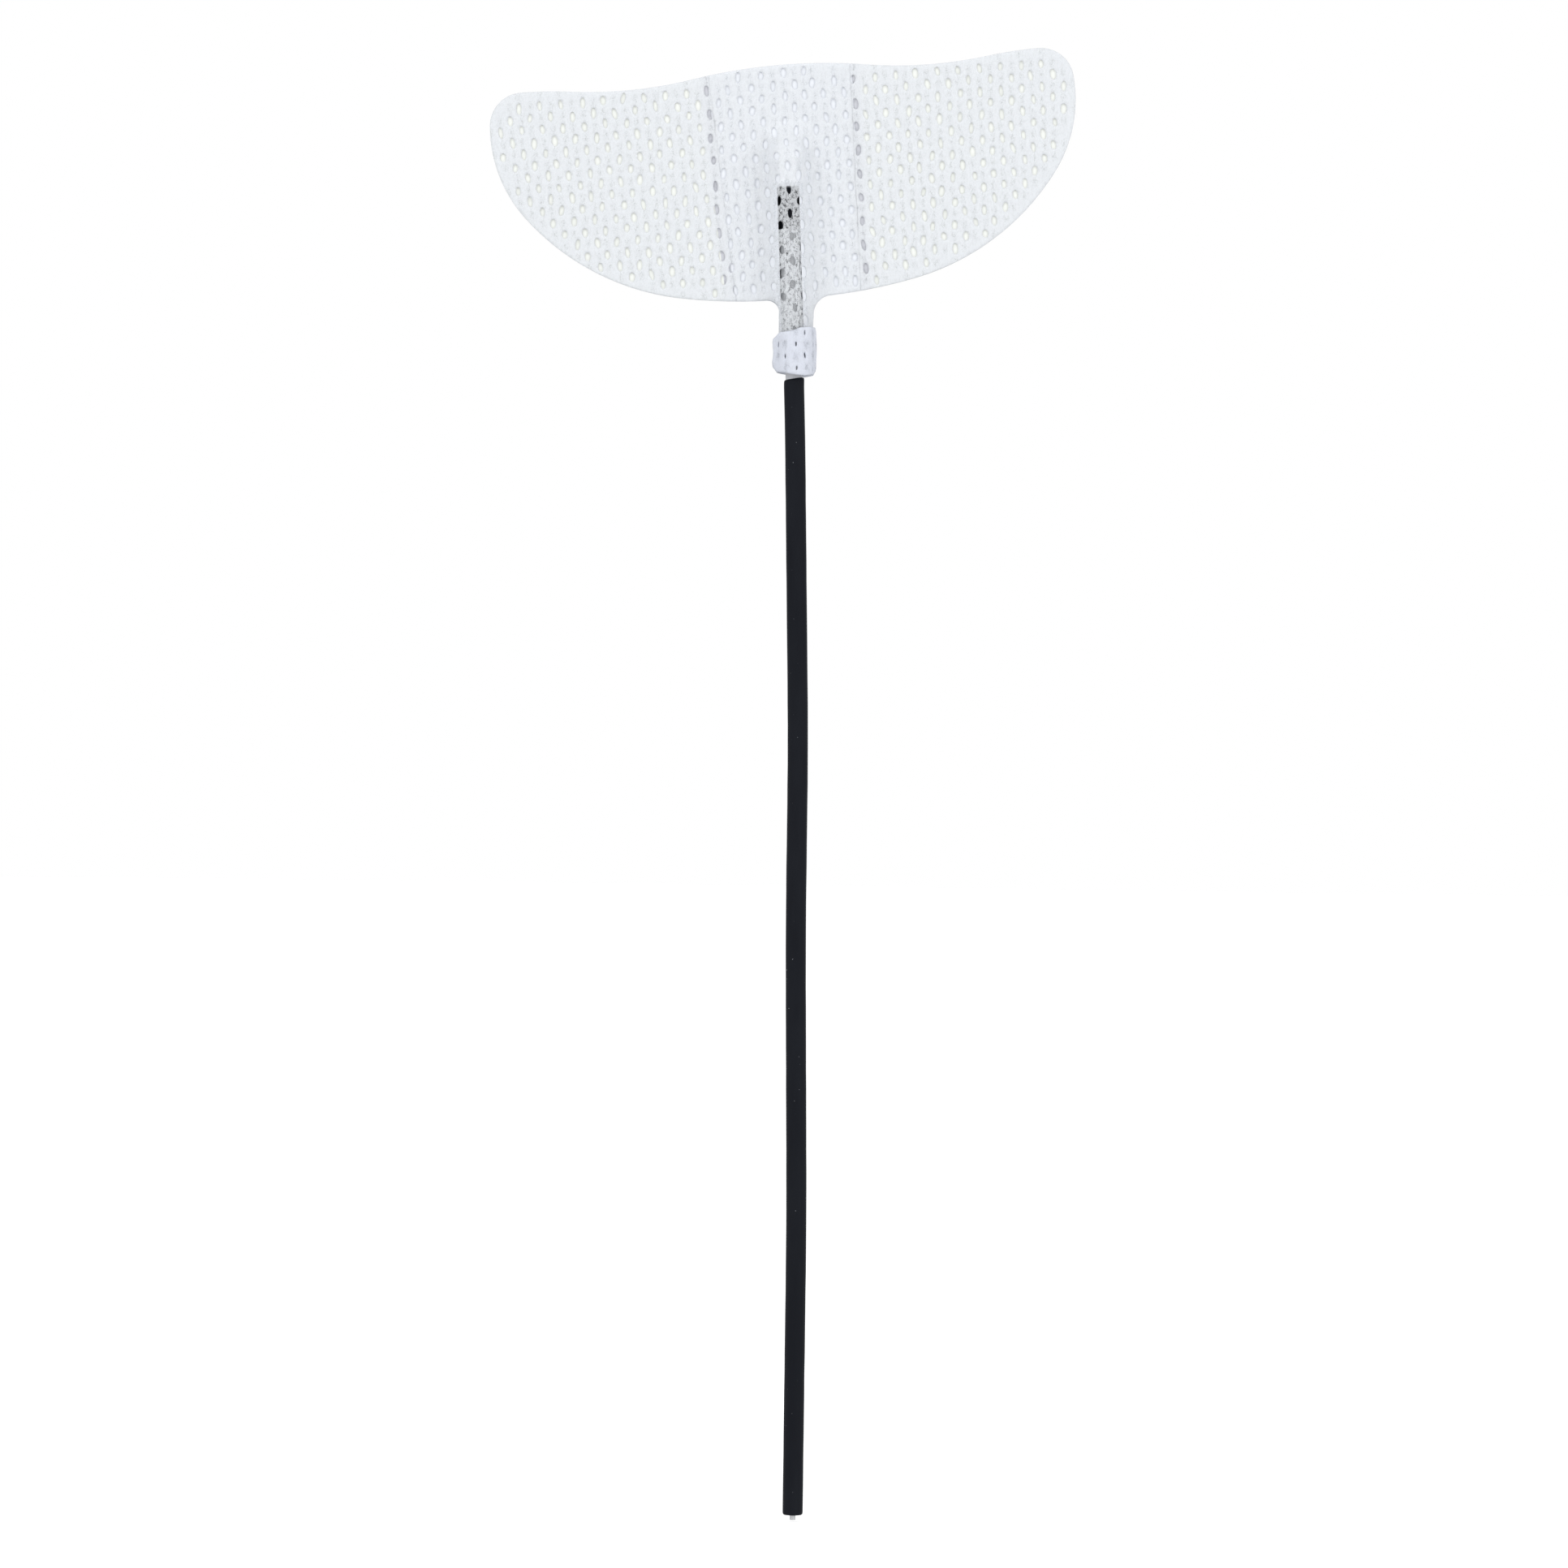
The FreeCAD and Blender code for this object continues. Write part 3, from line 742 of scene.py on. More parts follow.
@dataclass
class ClothCutter:
    """Cuts holed cloth from a flat outline and lays it on any surface."""

    thickness: float = 0.24
    spacing: float = 0.36
    lip: float = 0.3
    puff: float = 0.03
    dent: float = 0.6
    sparse_share: float = 0.5
    rim_share: float = 0.35
    grid_scatter: float = 0.18
    seed: int = 11

    def flat(self, outline: np.ndarray, holes: Holes,
             seams: Iterable = ()) -> tuple[np.ndarray, np.ndarray]:
        """Triangulates a holed outline.

        Args:
            outline: the closed edge.
            holes: the holes, already laid.
            seams: straight lines that triangles may not cross.

        Returns:
            The points and the triangles.
        """
        loops = [outline, *holes.loops()]
        points: list = []
        edges: list = []
        for loop in loops:
            first = len(points)
            points += loop.tolist()
            edges += [(first + n, first + (n + 1) % len(loop)) for n in range(len(loop))]
        for seam in seams:
            edges.append((len(points), len(points) + 1))
            points += [list(end) for end in seam]
        points += self._filling(outline, holes).tolist()
        made = delaunay_2d_cdt([Vector(p) for p in points], edges, [], 1, 1e-5)
        verts = np.array([tuple(p) for p in made[0]])
        faces = np.array([tuple(face) for face in made[2]])
        middles = verts[faces].mean(axis=1)
        keep = inside(middles, outline) & (holes.reach(middles) > 0)
        return verts, faces[keep]

    def _filling(self, outline: np.ndarray, holes: Holes) -> np.ndarray:
        """A loose triangular grid of points, clear of every edge.

        Args:
            outline: the outline to fill.
            holes: the holes to keep clear of.

        Returns:
            the grid points.
        """
        rng = np.random.default_rng(self.seed)
        low, high = outline.min(0), outline.max(0)
        rise = self.spacing * math.sqrt(3) / 2
        run = np.arange(low[0], high[0], self.spacing)
        grid = np.concatenate([
            np.stack([run + self.spacing / 2 * (n % 2), np.full(len(run), row)], axis=1)
            for n, row in enumerate(np.arange(low[1], high[1], rise))])
        scatter = self.grid_scatter
        grid = grid + rng.uniform(-scatter, scatter, grid.shape) * self.spacing
        grid = grid[inside(grid, outline)]
        grid = grid[edge_distance(grid, outline) > self.spacing * 0.5]
        return grid[holes.reach(grid) > self.spacing * 0.35]

    def lay(self, name: str, verts: np.ndarray, faces: np.ndarray, holes: Holes,
            surface: Callable[[np.ndarray, np.ndarray], np.ndarray],
            outline: np.ndarray,
            worn: Callable[[np.ndarray], np.ndarray] | None = None) -> bpy.types.Object:
        """Lays flat cloth on a surface and gives it its thickness.

        Args:
            name: the piece's name.
            verts: flat points.
            faces: triangles of the points.
            holes: the holes, for the thin lips round them.
            surface: turns flat points and heights above the ply into places.
            outline: the flat edge, for the thin outer rim.
            worn: how far flat points are stretched thin, from 0 to 1.

        Returns:
            The piece.
        """
        used = np.unique(faces)
        order = np.full(len(verts), -1)
        order[used] = np.arange(len(used))
        flat = verts[used]
        faces = order[faces]
        rim = np.minimum(holes.reach(flat), edge_distance(flat, outline))
        body = 1 - np.exp(-(np.maximum(rim, 0) / self.lip) ** 2)
        thin = holes.thinness(flat) * self.sparse_share
        if worn:
            thin = np.maximum(thin, worn(flat))
        height = self.puff * (body - self.dent * thin)
        piece = mesh_piece(name, surface(flat, height), faces)
        marks = piece.data.attributes.new("thin", "FLOAT", "POINT")
        marks.data.foreach_set("value", thin.astype(np.float32))
        group = piece.vertex_groups.new(name="ply")
        for number, share in enumerate(body):
            weight = self.rim_share + (1 - self.rim_share) * float(share)
            group.add([number], weight, "REPLACE")
        solid = piece.modifiers.new("ply", "SOLIDIFY")
        solid.thickness = self.thickness * MM
        solid.offset = 0
        solid.vertex_group = "ply"
        solid.thickness_vertex_group = 0.0
        apply_modifiers(piece)
        return piece


# ------------------------------------------------------------------ the frame's places


@dataclass(frozen=True)
class HeadPlane:
    """The head's own axes in the row frame: along the wings, up the head, and its ply."""

    x: float
    z: float
    tilt: float
    fold_out: float
    fold_lean: float
    ply: float

    @classmethod
    def read(cls) -> "HeadPlane":
        """Works the head's place out from the two wing hinges.

        Returns:
            the head's plane.
        """
        joints = {joint["name"]: joint for joint in frame["joints"]}
        left = np.array(joints["left_wing_fold"]["pos_m"]) / MM
        right = np.array(joints["right_wing_fold"]["pos_m"]) / MM
        middle = (left + right) / 2
        tilt = math.atan2(right[2] - left[2], right[0] - left[0])
        axis = joints["right_wing_fold"]["axis"]
        lean = math.atan2(axis[0], axis[2]) + tilt
        return cls(middle[0], middle[2], tilt, np.linalg.norm(right - left) / 2, lean, middle[1])

    def place(self, flat: np.ndarray, depth: np.ndarray | float) -> np.ndarray:
        """Head points with their distance behind the stem's axis, in the row frame.

        Args:
            flat: head points.
            depth: the distance behind the axis, one or many.

        Returns:
            the points in the row frame.
        """
        cos, sin = math.cos(self.tilt), math.sin(self.tilt)
        x = self.x + flat[:, 0] * cos - flat[:, 1] * sin
        z = self.z + flat[:, 0] * sin + flat[:, 1] * cos
        return np.stack([x, np.broadcast_to(depth, x.shape), z], axis=1)

    def flat(self, places: np.ndarray) -> np.ndarray:
        """Row frame points as head points.

        Args:
            places: points in the row frame.

        Returns:
            the head points.
        """
        cos, sin = math.cos(self.tilt), math.sin(self.tilt)
        x, z = places[:, 0] - self.x, places[:, 2] - self.z
        return np.stack([x * cos + z * sin, z * cos - x * sin], axis=1)

    def outward(self, flat: np.ndarray, side: Side) -> np.ndarray:
        """How far head points lie outside one fold line."""
        out = np.array([side.value * math.cos(self.fold_lean), -math.sin(self.fold_lean)])
        return (flat - (side.value * self.fold_out, 0)) @ out

    def fold_line(self, side: Side, shift: float, reach: float) -> np.ndarray:
        """Two head points of a line beside a fold line, shifted outwards.

        Args:
            side: which fold.
            shift: how far outwards.
            reach: half the line's length.

        Returns:
            the line's two ends.
        """
        sign = side.value
        along = np.array([sign * math.sin(self.fold_lean), math.cos(self.fold_lean)])
        out = np.array([sign * math.cos(self.fold_lean), -math.sin(self.fold_lean)])
        middle = np.array([sign * self.fold_out, 0.0]) + out * shift
        return np.array([middle - along * reach, middle + along * reach])


def node_points(node: str) -> np.ndarray:
    """A CAD node's corners in the row frame, in millimetres.

    Args:
        node: the node's name.

    Returns:
        the corners.
    """
    mesh = frame["nodes"][node].data
    points = np.zeros(len(mesh.vertices) * 3)
    mesh.vertices.foreach_get("co", points)
    return points.reshape(-1, 3) / MM


@dataclass
class StemLine:
    """The stem's centre line, read from the CAD sleeves."""

    nodes: tuple = ("lower_sleeve", "inner_tube")
    reach: float = 50.0
    off_seam: float = 0.01
    trees: list = field(init=False)

    def __post_init__(self) -> None:
        """Prepares the two nodes for being measured."""
        self.trees = []
        for name in self.nodes:
            mesh = frame["nodes"][name].data
            corners = [vertex.co / MM for vertex in mesh.vertices]
            faces = [tuple(face.vertices) for face in mesh.polygons]
            self.trees.append(BVHTree.FromPolygons(corners, faces))

    def x_at(self, height: float) -> float:
        """The centre line's sideways place at a height.

        Args:
            height: the height in millimetres.

        Returns:
            the place in millimetres.
        """
        for tree in self.trees:
            low, high = (
                tree.ray_cast(Vector((-way * self.reach, self.off_seam, height)),
                              Vector((way, 0, 0)))[0] for way in (1, -1))
            if low is not None and high is not None:
                return (low.x + high.x) / 2
        raise ValueError(f"the stem has no centre at {height}")


# ------------------------------------------------------------------ sub-assemblies


@dataclass
class Head:
    """The cloth head: its three cloths, films, splits, strip and liners."""

    plane: HeadPlane
    palette: Palette
    stem_top: np.ndarray
    stem_way: np.ndarray
    tent_front: float = -2.145
    tent_flat: float = 0.9
    tent_half: float = 4.4
    neck_half: float = 2.95
    neck_span: tuple = (-20.5, -14.5)
    lure_span: tuple = (4.5, 11.0)
    seam_inset: float = 0.9
    seam_reach: float = 30.0
    blend_reach: float = 0.6
    backing_setback: float = 0.55
    film_thickness: float = 0.08
    film_gap: float = 0.045
    bare_half: float = 1.62
    bare_top: float = 0.7
    bare_reach: float = 40.0
    crease_angle: float = 40.0
    worn_half: float = 2.3
    worn_top: float = 1.5
    worn_fade: float = 0.6
    slow_wave: float = 0.03
    quick_wave: float = 0.015
    holes: Holes = field(default_factory=lambda: Holes(lean=(0.8, 0.07, 1.6)))
    cutter: ClothCutter = field(default_factory=ClothCutter)

    def __post_init__(self) -> None:
        """Sizes the outline from the CAD cloth."""
        wings = np.concatenate([node_points(f"{side.word}_wing_cloth") for side in Side])
        middle = self.plane.flat(node_points("front_cloth"))
        half_span = np.abs(self.plane.flat(wings)[:, 0]).max()
        near_axis = middle[np.abs(middle[:, 0]) < 1.5]
        self.outline = Outline(float(half_span), float(near_axis[:, 1].max())).points()

    def from_stem(self, flat: np.ndarray) -> tuple[np.ndarray, np.ndarray]:
        """How far head points lie above the stem's top, and to either side of its line.

        Args:
            flat: head points.

        Returns:
            the heights and the sideways distances.
        """
        offset = self.plane.place(flat, 0.0)[:, [0, 2]] - self.stem_top
        return (offset @ self.stem_way,
                np.abs(offset @ np.array([self.stem_way[1], -self.stem_way[0]])))

    def depth(self, flat: np.ndarray) -> np.ndarray:
        """The ply's distance behind the stem's axis, domed over stem and lure.

        Args:
            flat: head points.

        Returns:
            a distance for each point.
        """
        along, beside = self.from_stem(flat)
        opening = np.clip((along - self.neck_span[0]) / np.ptp(self.neck_span), 0, 1)
        opening = opening * opening * (3 - 2 * opening)
        half = self.neck_half + (self.tent_half - self.neck_half) * opening
        share = np.clip((beside - self.tent_flat) / (half - self.tent_flat), 0, 1)
        closing = np.clip((along - self.lure_span[0]) / np.ptp(self.lure_span), 0, 1)
        rise = (self.plane.ply - self.tent_front) * (0.5 + 0.5 * np.cos(math.pi * closing))
        return self.plane.ply - rise * (0.5 + 0.5 * np.cos(math.pi * share))

    def worn(self, flat: np.ndarray) -> np.ndarray:
        """How thin the cloth is stretched: most where it rides over the bare stem.

        Args:
            flat: head points.

        Returns:
            a share from 0 to 1 for each point.
        """
        along, beside = self.from_stem(flat)
        across = np.clip((self.worn_half - beside) / self.worn_fade, 0, 1)
        return across * np.clip((self.worn_top - along) / self.worn_fade, 0, 1)

    def waves(self, flat: np.ndarray) -> np.ndarray:
        """The cloth's slight unevenness.

        Args:
            flat: head points.

        Returns:
            a height for each point.
        """
        u, v = flat[:, 0], flat[:, 1]
        slow = np.sin(u * 0.23 + 1.3 * np.sin(v * 0.11)) * np.cos(v * 0.19 + 0.4)
        quick = np.sin(u * 0.71 + v * 0.33) * np.sin(v * 0.57 - u * 0.21)
        return self.slow_wave * slow + self.quick_wave * quick

    def surface(self, flat: np.ndarray, height: np.ndarray) -> np.ndarray:
        """Where the cloth's flat points lie; height stands out to the front."""
        return self.plane.place(flat, self.depth(flat) + self.waves(flat) - height)

    def build_cloths(self) -> None:
        """Cuts the three cloths from one pattern, so that they meet hole for hole."""
        self.holes.lay(self.outline)
        seams = [self.plane.fold_line(side, -self.seam_inset, self.seam_reach)
                 for side in Side]
        verts, faces = self.cutter.flat(self.outline, self.holes, seams)
        middles = verts[faces].mean(axis=1)
        out = {side: self.plane.outward(middles, side) + self.seam_inset for side in Side}
        centre = (out[Side.LEFT] < 0) & (out[Side.RIGHT] < 0)
        pieces = {"front_cloth_holed": centre}
        pieces |= {f"{side.word}_wing_cloth_holed": out[side] > 0 for side in Side}
        for name, chosen in pieces.items():
            piece = self.cutter.lay(name, verts, faces[chosen], self.holes, self.surface,
                                    self.outline, self.worn)
            dress(piece, self.palette.cloth)
            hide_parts(name.replace("_holed", ""))
            self.declare(verts, faces[chosen])
            log.info("%s: %d faces", name, len(piece.data.polygons))
        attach(bpy.data.objects["front_cloth_holed"], "stem_and_centre")
        for side in Side:
            self.blend(bpy.data.objects[f"{side.word}_wing_cloth_holed"], side)

    @staticmethod
    def backed_by(name: str) -> list:
        """The films, and the band, that are carried by one of the three cloths.

        Args:
            name: the cloth's name.

        Returns:
            the carried objects.
        """
        side = next((side.word for side in Side if name.startswith(side.word)), None)
        names = [f"{side}_film", f"{side}_split"] if side else ["centre_film", "neck_band_cloth"]
        return [bpy.data.objects[one] for one in names]

    def declare(self, verts: np.ndarray, faces: np.ndarray) -> None:
        """Works out the flat area that a cloth was cut to, less its holes, and then drops it.

        Args:
            verts: the cut cloth's flat corners.
            faces: the faces between them.
        """
        corners = verts[faces]
        one, two = corners[:, 1] - corners[:, 0], corners[:, 2] - corners[:, 0]
        area = np.abs(one[:, 0] * two[:, 1] - one[:, 1] * two[:, 0]).sum() / 2

    def blend(self, piece: bpy.types.Object, side: Side) -> None:
        """Bakes a piece's placing into its mesh; its wing's fold line ends are worked out but not
        used, and the piece does not bend.

        Args:
            piece: the piece whose placing is baked.
            side: which wing.
        """
        reach = self.blend_reach
        ends = [self.plane.fold_line(side, shift, 0.0)[:1] for shift in (-reach, reach)]
        start, end = (self.plane.place(point, self.plane.ply)[0] * MM for point in ends)
        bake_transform(piece)

    def trimmed(self, low: float | None, high: float | None, side: Side) -> np.ndarray:
        """The outline between two distances outside one fold line.

        Args:
            low: the nearer distance, or none.
            high: the farther distance, or none.
            side: which fold line.

        Returns:
            the trimmed outline.
        """
        points = self.outline
        for limit, sign in ((low, 1), (high, -1)):
            if limit is not None:
                away = (self.plane.outward(points, side) - limit) * sign
                points = clip(points, away)
        return points

    def plate(self, name: str, outline: np.ndarray, front: float, back: float,
              material: bpy.types.Material) -> bpy.types.Object:
        """A flat sheet between two distances behind the stem's axis.

        Args:
            name: the object's name.
            outline: the sheet's outline.
            front: the nearer distance.
            back: the farther distance.
            material: the sheet's finish.

        Returns:
            the object.
        """
        count = len(outline)
        points = np.concatenate([self.plane.place(outline, front),
                                 self.plane.place(outline, back)])
        faces = [tuple(range(count)), tuple(range(2 * count - 1, count - 1, -1))]
        faces += [(n, n + count, (n + 1) % count + count, (n + 1) % count)
                  for n in range(count)]
        piece = mesh_piece(name, points, faces)
        with editing(piece, self.crease_angle):
            bpy.ops.mesh.quads_convert_to_tris()
        dress(piece, material)
        return piece

    def build_backing(self) -> None:
        """The films behind the cloth, and grey strips of painted shadow where the backing is
        split.
        """
        front = self.plane.ply + self.cutter.thickness / 2 + self.film_gap
        back = front + self.film_thickness
        setback = self.backing_setback
        self.build_centre_film()
        for side in Side:
            word = side.word
            wing = self.plate(f"{word}_film", self.trimmed(setback, None, side), front, back,
                              self.palette.wing_film)
            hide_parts(f"{word}_adhesive")
            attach(wing, f"{word}_wing")
            split = self.trimmed(-setback, setback, side)
            # the split strip is painted shadow: a grey sheet for the shaded gap between the
            # backing sheets
            line = self.plate(f"{word}_split", split, front, back, self.palette.split_film)
            self.blend(line, side)
            log.info("%s film and split", word)

    def build_centre_film(self) -> None:
        """The centre's adhesive, on the cloth's back but for the strip over the stem."""
        inner = self.trimmed(None, -self.backing_setback, Side.LEFT)
        away = -self.backing_setback - self.plane.outward(inner, Side.RIGHT)
        inner = clip(inner, away)
        top, way, half = self.stem_top, self.stem_way, self.bare_half
        beside = np.array([way[1], -way[0]])
        head = top + way * self.bare_top
        foot = top - way * self.bare_reach
        corners = [foot + beside * half, head + beside * half, head - beside * half,
                   foot - beside * half]
        bare = self.plane.flat(np.array([[x, 0.0, z] for x, z in corners]))
        cutter = ClothCutter(thickness=self.film_thickness, spacing=0.6, puff=0.0)
        solid = Holes(margin=math.inf)
        solid.lay(inner)
        verts, faces = cutter.flat(inner, solid, list(zip(bare, bare[1:])))
        faces = faces[~inside(verts[faces].mean(axis=1), bare)]
        behind = self.cutter.thickness / 2 + self.film_gap + self.film_thickness / 2

        def surface(flat: np.ndarray, height: np.ndarray) -> np.ndarray:
            """Where the film lies: close behind the cloth."""
            return self.surface(flat, height - behind)

        film = cutter.lay("centre_film", verts, faces, solid, surface, inner)
        dress(film, self.palette.centre_film)
        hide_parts("centre_adhesive")
        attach(film, "stem_and_centre")

    def dress_papers(self) -> None:
        """Gives the strip and liners their papers."""
        dress(frame["nodes"]["backing_strip"], self.palette.strip)
        for side in Side:
            dress(frame["nodes"][f"{side.word}_liner"], self.palette.liner)


def clip(points: np.ndarray, away: np.ndarray) -> np.ndarray:
    """Cuts a closed outline where away, a distance at each point, is below zero.

    Args:
        points: the outline's corners.
        away: a distance at each corner.

    Returns:
        the outline that is left.
    """
    kept = []
    for number in range(len(points)):
        here, before = points[number], points[number - 1]
        now, then = away[number], away[number - 1]
        if (now >= 0) != (then >= 0):
            kept.append(before + (here - before) * then / (then - now))
        if now >= 0:
            kept.append(here)
    return np.array(kept)


@dataclass
class Stem:
    """The coated wire below and inside the head."""

    line: StemLine
    palette: Palette
    radius: float = 1.5
    facets: int = 64
    step: float = 3.0
    end_slant: float = math.radians(9)
    waver: float = 0.012
    waver_rates: tuple = (0.83, 0.29)
    collar: float = 1.2
    bore: float = 1.235
    foot: float = 0.5
    foot_rounds: tuple = ((0.06, 0.62), (0.0, 0.78), (0.0, 1.05), (0.03, 1.28), (0.12, 1.42),
                          (0.28, 1.485))
    crown_insets: tuple = ((0.42, 0.0), (0.16, 0.03), (0.04, 0.12), (0.0, 0.26))
    lip_rounds: tuple = ((0.02, 1.24), (1.0, 1.235))
    inner_rounds: tuple = ((0.28, 1.235), (0.2, 0.62))
    lowest: float = 0.4
    crease_angle: float = 50.0
    crown: float = field(init=False)

    def __post_init__(self) -> None:
        """Finds the height below which the sleeve is round."""
        self.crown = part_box("lower_sleeve")[1].z / MM - self.radius

    def ring(self, height: float, radius: float, slant: float = 0.0) -> np.ndarray:
        """One round of points about the centre line, leaning by a slope to the right.

        Args:
            height: the round's height.
            radius: its radius.
            slant: its slope.

        Returns:
            the points.
        """
        angles = np.arange(self.facets) * math.tau / self.facets
        x = np.cos(angles) * radius
        middle = self.line.x_at(min(max(height, self.lowest), self.crown))
        return np.stack([middle + x, np.sin(angles) * radius, height + x * slant], axis=1)

    def build_sleeve(self) -> None:
        """The lower black sleeve, a closed tube run up its outside and down its bore."""
        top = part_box("lower_sleeve")[1].z / MM - self.radius * math.sin(self.end_slant)
        slope = math.tan(self.end_slant)
        quick, slow = self.waver_rates
        heights = np.arange(self.step, top - self.step, self.step)
        rounds = [(height, radius, 0.0) for height, radius in self.foot_rounds]
        rounds += [(self.foot, self.radius, 0.0)]
        rounds += [(height, self.radius + self.waver * math.sin(height * quick)
                    * math.cos(height * slow), 0.0) for height in heights]
        rounds += [(top - self.collar, self.radius, 0.0)]
        rounds += [(top - drop, self.radius - inset, slope) for drop, inset in self.crown_insets]
        rounds += [(top - drop, radius, slope) for drop, radius in self.lip_rounds]
        rounds += [(height, self.bore, 0.0) for height in heights[::-1]]
        rounds += [(height, radius, 0.0) for height, radius in self.inner_rounds]
        bpy.ops.object.select_all(action="DESELECT")
        bpy.ops.mesh.primitive_circle_add(vertices=self.facets, radius=rounds[0][1] * MM,
                                          fill_type="NOTHING")
        piece = bpy.context.object
        piece.name = "lower_sleeve_coat"
        self.run_up(piece, rounds)
        dress(piece, self.palette.rubber)
        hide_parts("lower_sleeve")
        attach(piece, "stem_and_centre")
        log.info("lower sleeve: %d faces", len(piece.data.polygons))

    def run_up(self, piece: bpy.types.Object, rounds: list) -> None:
        """Extrudes a piece's ring through a run of rounds and joins the two ends.

        Args:
            piece: a circle of the stem's facets.
            rounds: height, radius and slope of each ring.
        """
        choose(piece)
        bpy.ops.object.mode_set(mode="EDIT")
        bpy.ops.mesh.select_all(action="SELECT")
        for _ in rounds[1:]:
            bpy.ops.mesh.extrude_region_move()
        bpy.ops.object.mode_set(mode="OBJECT")
        points = np.concatenate([self.ring(*one) for one in rounds]) * MM
        piece.data.vertices.foreach_set("co", points.ravel())
        piece.data.update()
        with editing(piece, self.crease_angle):
            bpy.ops.mesh.select_mode(type="EDGE")
            bpy.ops.mesh.select_all(action="DESELECT")
            bpy.ops.mesh.select_non_manifold()
            bpy.ops.mesh.bridge_edge_loops()

    def dress_nodes(self) -> None:
        """Finishes the pieces inside the sleeve and the head."""
        nodes = frame["nodes"]
        dress(nodes["core_wire"], self.palette.wire)
        dress(nodes["inner_tube"], self.palette.tube)
        dress(nodes["upper_sleeve"], self.palette.rubber)
        dress(nodes["lure"], self.palette.lure)


@dataclass
class Wrapping:
    """The tape ply under the cloth and the folded band round the neck."""

    line: StemLine
    palette: Palette
    cutter: ClothCutter
    plan: tuple = ((2.95, 2.25), (3.04, 0.4), (2.35, -1.7), (1.0, -2.5), (-0.3, -2.68),
                   (-1.6, -2.2), (-2.4, -1.1), (-3.0, -0.36), (-3.1, -0.1), (-3.0, 0.16),
                   (-2.45, 0.95), (-1.85, 2.0), (-0.8, 2.47), (1.2, 2.48))
    top: tuple = ((-3.3, 5.3), (-2.66, 5.8), (-2.13, 6.35), (-0.51, 6.5), (0.68, 7.0),
                  (2.66, 7.25), (3.1, 7.25))
    bottom: tuple = ((-3.1, 1.3), (-2.84, 1.0), (-2.47, 0.52), (-1.27, 0.35), (-0.43, 0.17),
                     (1.49, -0.02), (2.8, 0.25), (3.1, 0.8))
    lean: float = math.radians(0.75)
    shift: tuple = (-0.05, 0.02)
    curve_steps: int = 12
    girth: float = 2.6
    ripple: float = 0.05
    ripple_rate: float = 1.1
    wrap_radius: float = 1.7
    wrap_steps: int = 40
    wrap_puff: float = 0.5

    def build_band(self) -> None:
        """The band, cut flat and rolled round the neck with its left side pinched."""
        low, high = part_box("neck_band")
        base = np.array([(low.x + high.x) / 2 / MM + self.shift[0], 0.0,
                         low.z / MM + self.shift[1]])
        ring = smooth_loop(np.array(self.plan), self.curve_steps)
        steps = np.linalg.norm(np.roll(ring, -1, axis=0) - ring, axis=1)
        run = np.concatenate([[0], np.cumsum(steps)])
        closed = np.concatenate([ring, ring[:1]])
        tops = np.interp(closed[:, 0], *zip(*self.top))
        feet = np.interp(closed[:, 0], *zip(*self.bottom))
        upper = np.stack([run, tops], axis=1)
        lower = np.stack([run, feet], axis=1)[::-1]
        outline = np.concatenate([upper, lower])
        holes = Holes(margin=0.6, seed=23, origin=(0.4, 1.1), across=0.12, along=0.42)
        holes.lay(outline)
        verts, faces = self.cutter.flat(outline, holes)

        def rolled(flat: np.ndarray, height: np.ndarray) -> np.ndarray:
            """Where the band's flat points lie round the neck.

            Args:
                flat: points of the flat band.
                height: their heights above it.

            Returns:
                their places.
            """
            x = np.interp(flat[:, 0], run, closed[:, 0])
            y = np.interp(flat[:, 0], run, closed[:, 1])
            z = flat[:, 1]
            grow = 1 + height / self.girth
            waver = self.ripple * np.sin(z * self.ripple_rate + x)
            return base + np.stack([(x + waver) * grow - z * math.sin(self.lean),
                                    y * grow, z], axis=1)

        piece = self.cutter.lay("neck_band_cloth", verts, faces, holes, rolled, outline)
        self.close(piece)
        dress(piece, self.palette.band)
        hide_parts("neck_band")
        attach(piece, "stem_and_centre")
        log.info("band: %d faces", len(piece.data.polygons))

    def build_wrap(self) -> None:
        """The tape ply rolled round the upper sleeve below its bare top."""
        low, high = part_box("stem_wrap")
        foot, top = low.z / MM, high.z / MM
        radius = self.wrap_radius
        turn = math.tau * radius
        outline = np.array([(0, foot), (turn, foot), (turn, top), (0, top)])
        outline = np.concatenate([np.linspace(a, b, self.wrap_steps)[:-1] for a, b in
                                  zip(outline, np.roll(outline, -1, axis=0))])
        holes = Holes(margin=0.6, seed=31, origin=(1.2, foot + 1.7), across=0.2, along=0.42)
        holes.lay(outline)
        verts, faces = self.cutter.flat(outline, holes)

        def rolled(flat: np.ndarray, height: np.ndarray) -> np.ndarray:
            """Where the wrap's flat points lie round the sleeve.

            Args:
                flat: points of the flat wrap.
                height: their heights above it.

            Returns:
                their places.
            """
            angle = flat[:, 0] / radius
            middle = np.array([self.line.x_at(z) for z in flat[:, 1]])
            reach = radius + height * self.wrap_puff
            return np.stack([middle + reach * np.sin(angle), reach * np.cos(angle),
                             flat[:, 1]], axis=1)

        piece = self.cutter.lay("stem_wrap_cloth", verts, faces, holes, rolled, outline)
        self.close(piece)
        dress(piece, self.palette.wrap)
        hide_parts("stem_wrap")
        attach(piece, "stem_and_centre")
        log.info("wrap: %d faces", len(piece.data.polygons))

    @staticmethod
    def close(piece: bpy.types.Object) -> None:
        """Joins a rolled piece where its two ends meet."""
        with editing(piece):
            bpy.ops.mesh.remove_doubles(threshold=0.01 * MM)


